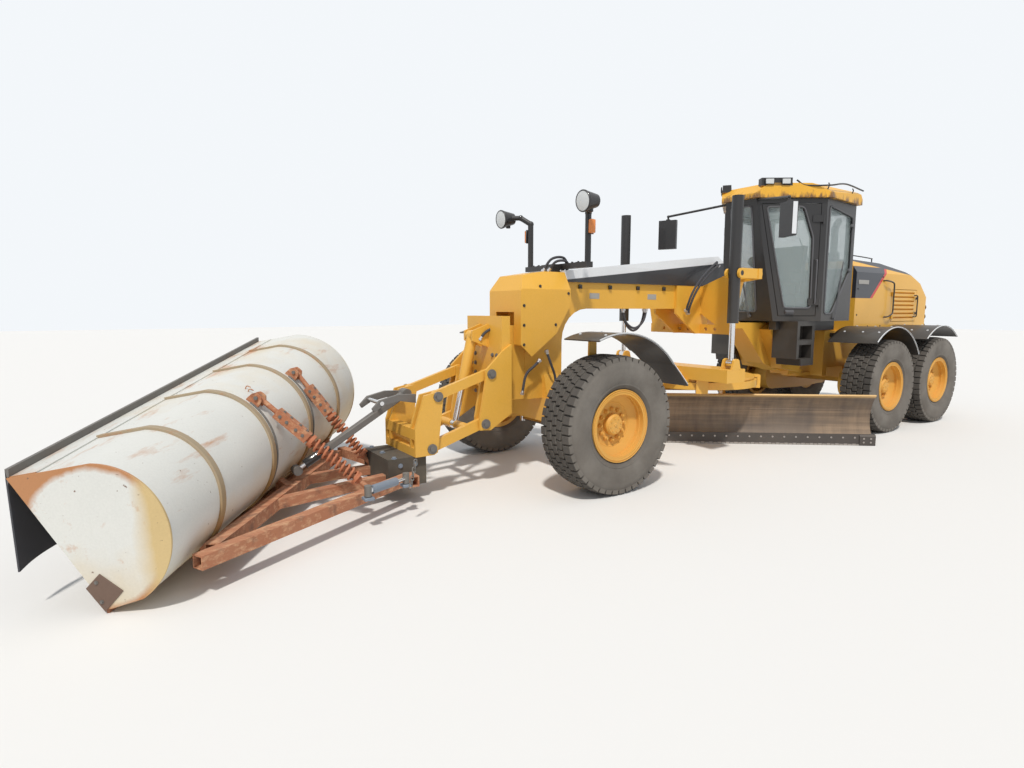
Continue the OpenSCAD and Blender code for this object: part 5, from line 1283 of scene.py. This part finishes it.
class GRADER_OT_beam(bpy.types.Operator):
    """Bolts, blank plates and clamps along the main frame and the nose"""
    bl_idname = "grader.beam"
    bl_label = "Frame fittings"

    def execute(self, context):
        bm = bmesh.new()
        for x in (-0.62, -1.55, -2.35):
            paint(add_box(bm, (x - 0.075, 0.1500, 1.900), (x + 0.075, 0.1545, 1.965), 0.003), 1)
        clamps = (-0.40, -0.85, -1.30, -1.75)
        for x in clamps:
            add_box(bm, (x - 0.022, 0.148, 2.010), (x + 0.022, 0.176, 2.055), 0.005)
        add_bolts(bm, [(x, 0.176, 2.032) for x in clamps], (0, 1, 0), 0.009, 0.006)
        face = 0.2995
        spots = ((0.46, face, 1.42), (0.46, face, 1.62), (0.46, face, 1.82), (0.05, face, 1.62),
                 (-0.12, face, 1.95), (0.25, 0.290, 2.02))
        add_bolts(bm, spots, (0, 1, 0), 0.012, 0.008)
        both_sides(bm)
        keep(bm, "frame_fittings", ("black", "sign_grey"), "front_frame")
        return {"FINISHED"}


class GRADER_OT_stage(bpy.types.Operator):
    """Puts the floor, the soft light and the camera round the grader"""
    bl_idname = "grader.stage"
    bl_label = "Stage"

    def floor(self, scene):
        bm = bmesh.new()
        bmesh.ops.create_grid(bm, x_segments=1, y_segments=1, size=60)
        mesh = bpy.data.meshes.new("floor")
        bm.to_mesh(mesh)
        bm.free()
        floor = bpy.data.objects.new("floor", mesh)
        scene.collection.objects.link(floor)
        m = bpy.data.materials.new("floor")
        m.use_nodes = True
        shader = m.node_tree.nodes["Principled BSDF"].inputs
        shader["Base Color"].default_value = (0.80, 0.79, 0.77, 1)
        shader["Roughness"].default_value = 0.9
        mesh.materials.append(m)

    def world(self, scene):
        """Pale to the eye and in the glass, a dimmer blue as light."""
        world = bpy.data.worlds.new("studio")
        scene.world = world
        world.use_nodes = True
        t = world.node_tree
        back = t.nodes["Background"]
        back.inputs["Color"].default_value = (0.86, 0.92, 1.0, 1)
        back.inputs["Strength"].default_value = 0.55
        sky = t.nodes.new("ShaderNodeBackground")
        sky.inputs["Color"].default_value = (0.90, 0.93, 0.96, 1)
        sky.inputs["Strength"].default_value = 1.0
        ray = t.nodes.new("ShaderNodeLightPath").outputs
        seen = math_node(t, "MAXIMUM", ray["Is Camera Ray"], ray["Is Glossy Ray"])
        seen = math_node(t, "MAXIMUM", seen, ray["Is Transmission Ray"])
        both = t.nodes.new("ShaderNodeMixShader")
        for value, socket in zip((seen, back.outputs[0], sky.outputs[0]), both.inputs):
            put(t, value, socket)
        put(t, both.outputs[0], t.nodes["World Output"].inputs["Surface"])

    def execute(self, context):
        scene = context.scene
        self.floor(scene)
        self.world(scene)
        sun = bpy.data.lights.new("sun", "SUN")
        sun.energy = 2.6
        sun.angle = math.radians(4)
        sun.color = (1.0, 0.96, 0.90)
        lamp = bpy.data.objects.new("sun", sun)
        lamp.rotation_euler = Vector((-0.35, -0.42, -0.84)).to_track_quat("-Z", "Y").to_euler()
        scene.collection.objects.link(lamp)
        cam = bpy.data.cameras.new("camera")
        cam.lens = 21.16
        cam.sensor_width = 36
        cam.clip_end = 200
        eye = bpy.data.objects.new("camera", cam)
        yaw, pitch = math.radians(-123.94), math.radians(-7.02)
        look = Vector((math.cos(pitch) * math.cos(yaw), math.cos(pitch) * math.sin(yaw), math.sin(pitch)))
        eye.location = machine(4.016, 5.362, 1.776)
        eye.rotation_euler = look.to_track_quat("-Z", "Y").to_euler()
        scene.collection.objects.link(eye)
        scene.camera = eye
        scene.view_settings.view_transform = "Standard"
        return {"FINISHED"}


class GRADER_PT_panel(bpy.types.Panel):
    """Lists the grader's steps and sizes"""
    bl_label = "Grader"
    bl_idname = "GRADER_PT_panel"
    bl_space_type = "VIEW_3D"
    bl_region_type = "UI"
    bl_category = "Grader"

    def draw(self, context):
        s = context.scene.grader_sizes
        for name in ("yellow", "plow", "lug_height", "hose_radius"):
            self.layout.prop(s, name)
        for step in STEPS:
            self.layout.operator(step.bl_idname)


STEPS = (GRADER_OT_finishes, GRADER_OT_stage, GRADER_OT_tyres, GRADER_OT_wheels, GRADER_OT_plow,
         GRADER_OT_springs, GRADER_OT_cab, GRADER_OT_lamps, GRADER_OT_hood, GRADER_OT_fenders,
         GRADER_OT_hoses, GRADER_OT_blade, GRADER_OT_lift, GRADER_OT_beam)
CLASSES = (GraderSizes, *STEPS, GRADER_PT_panel)


def register():
    for c in CLASSES:
        bpy.utils.register_class(c)
    bpy.types.Scene.grader_sizes = bpy.props.PointerProperty(type=GraderSizes)


def unregister():
    del bpy.types.Scene.grader_sizes
    for c in reversed(CLASSES):
        bpy.utils.unregister_class(c)


def main():
    register()
    for step in STEPS:
        area, name = step.bl_idname.split(".")
        getattr(getattr(bpy.ops, area), name)()


if __name__ == "__main__":
    main()
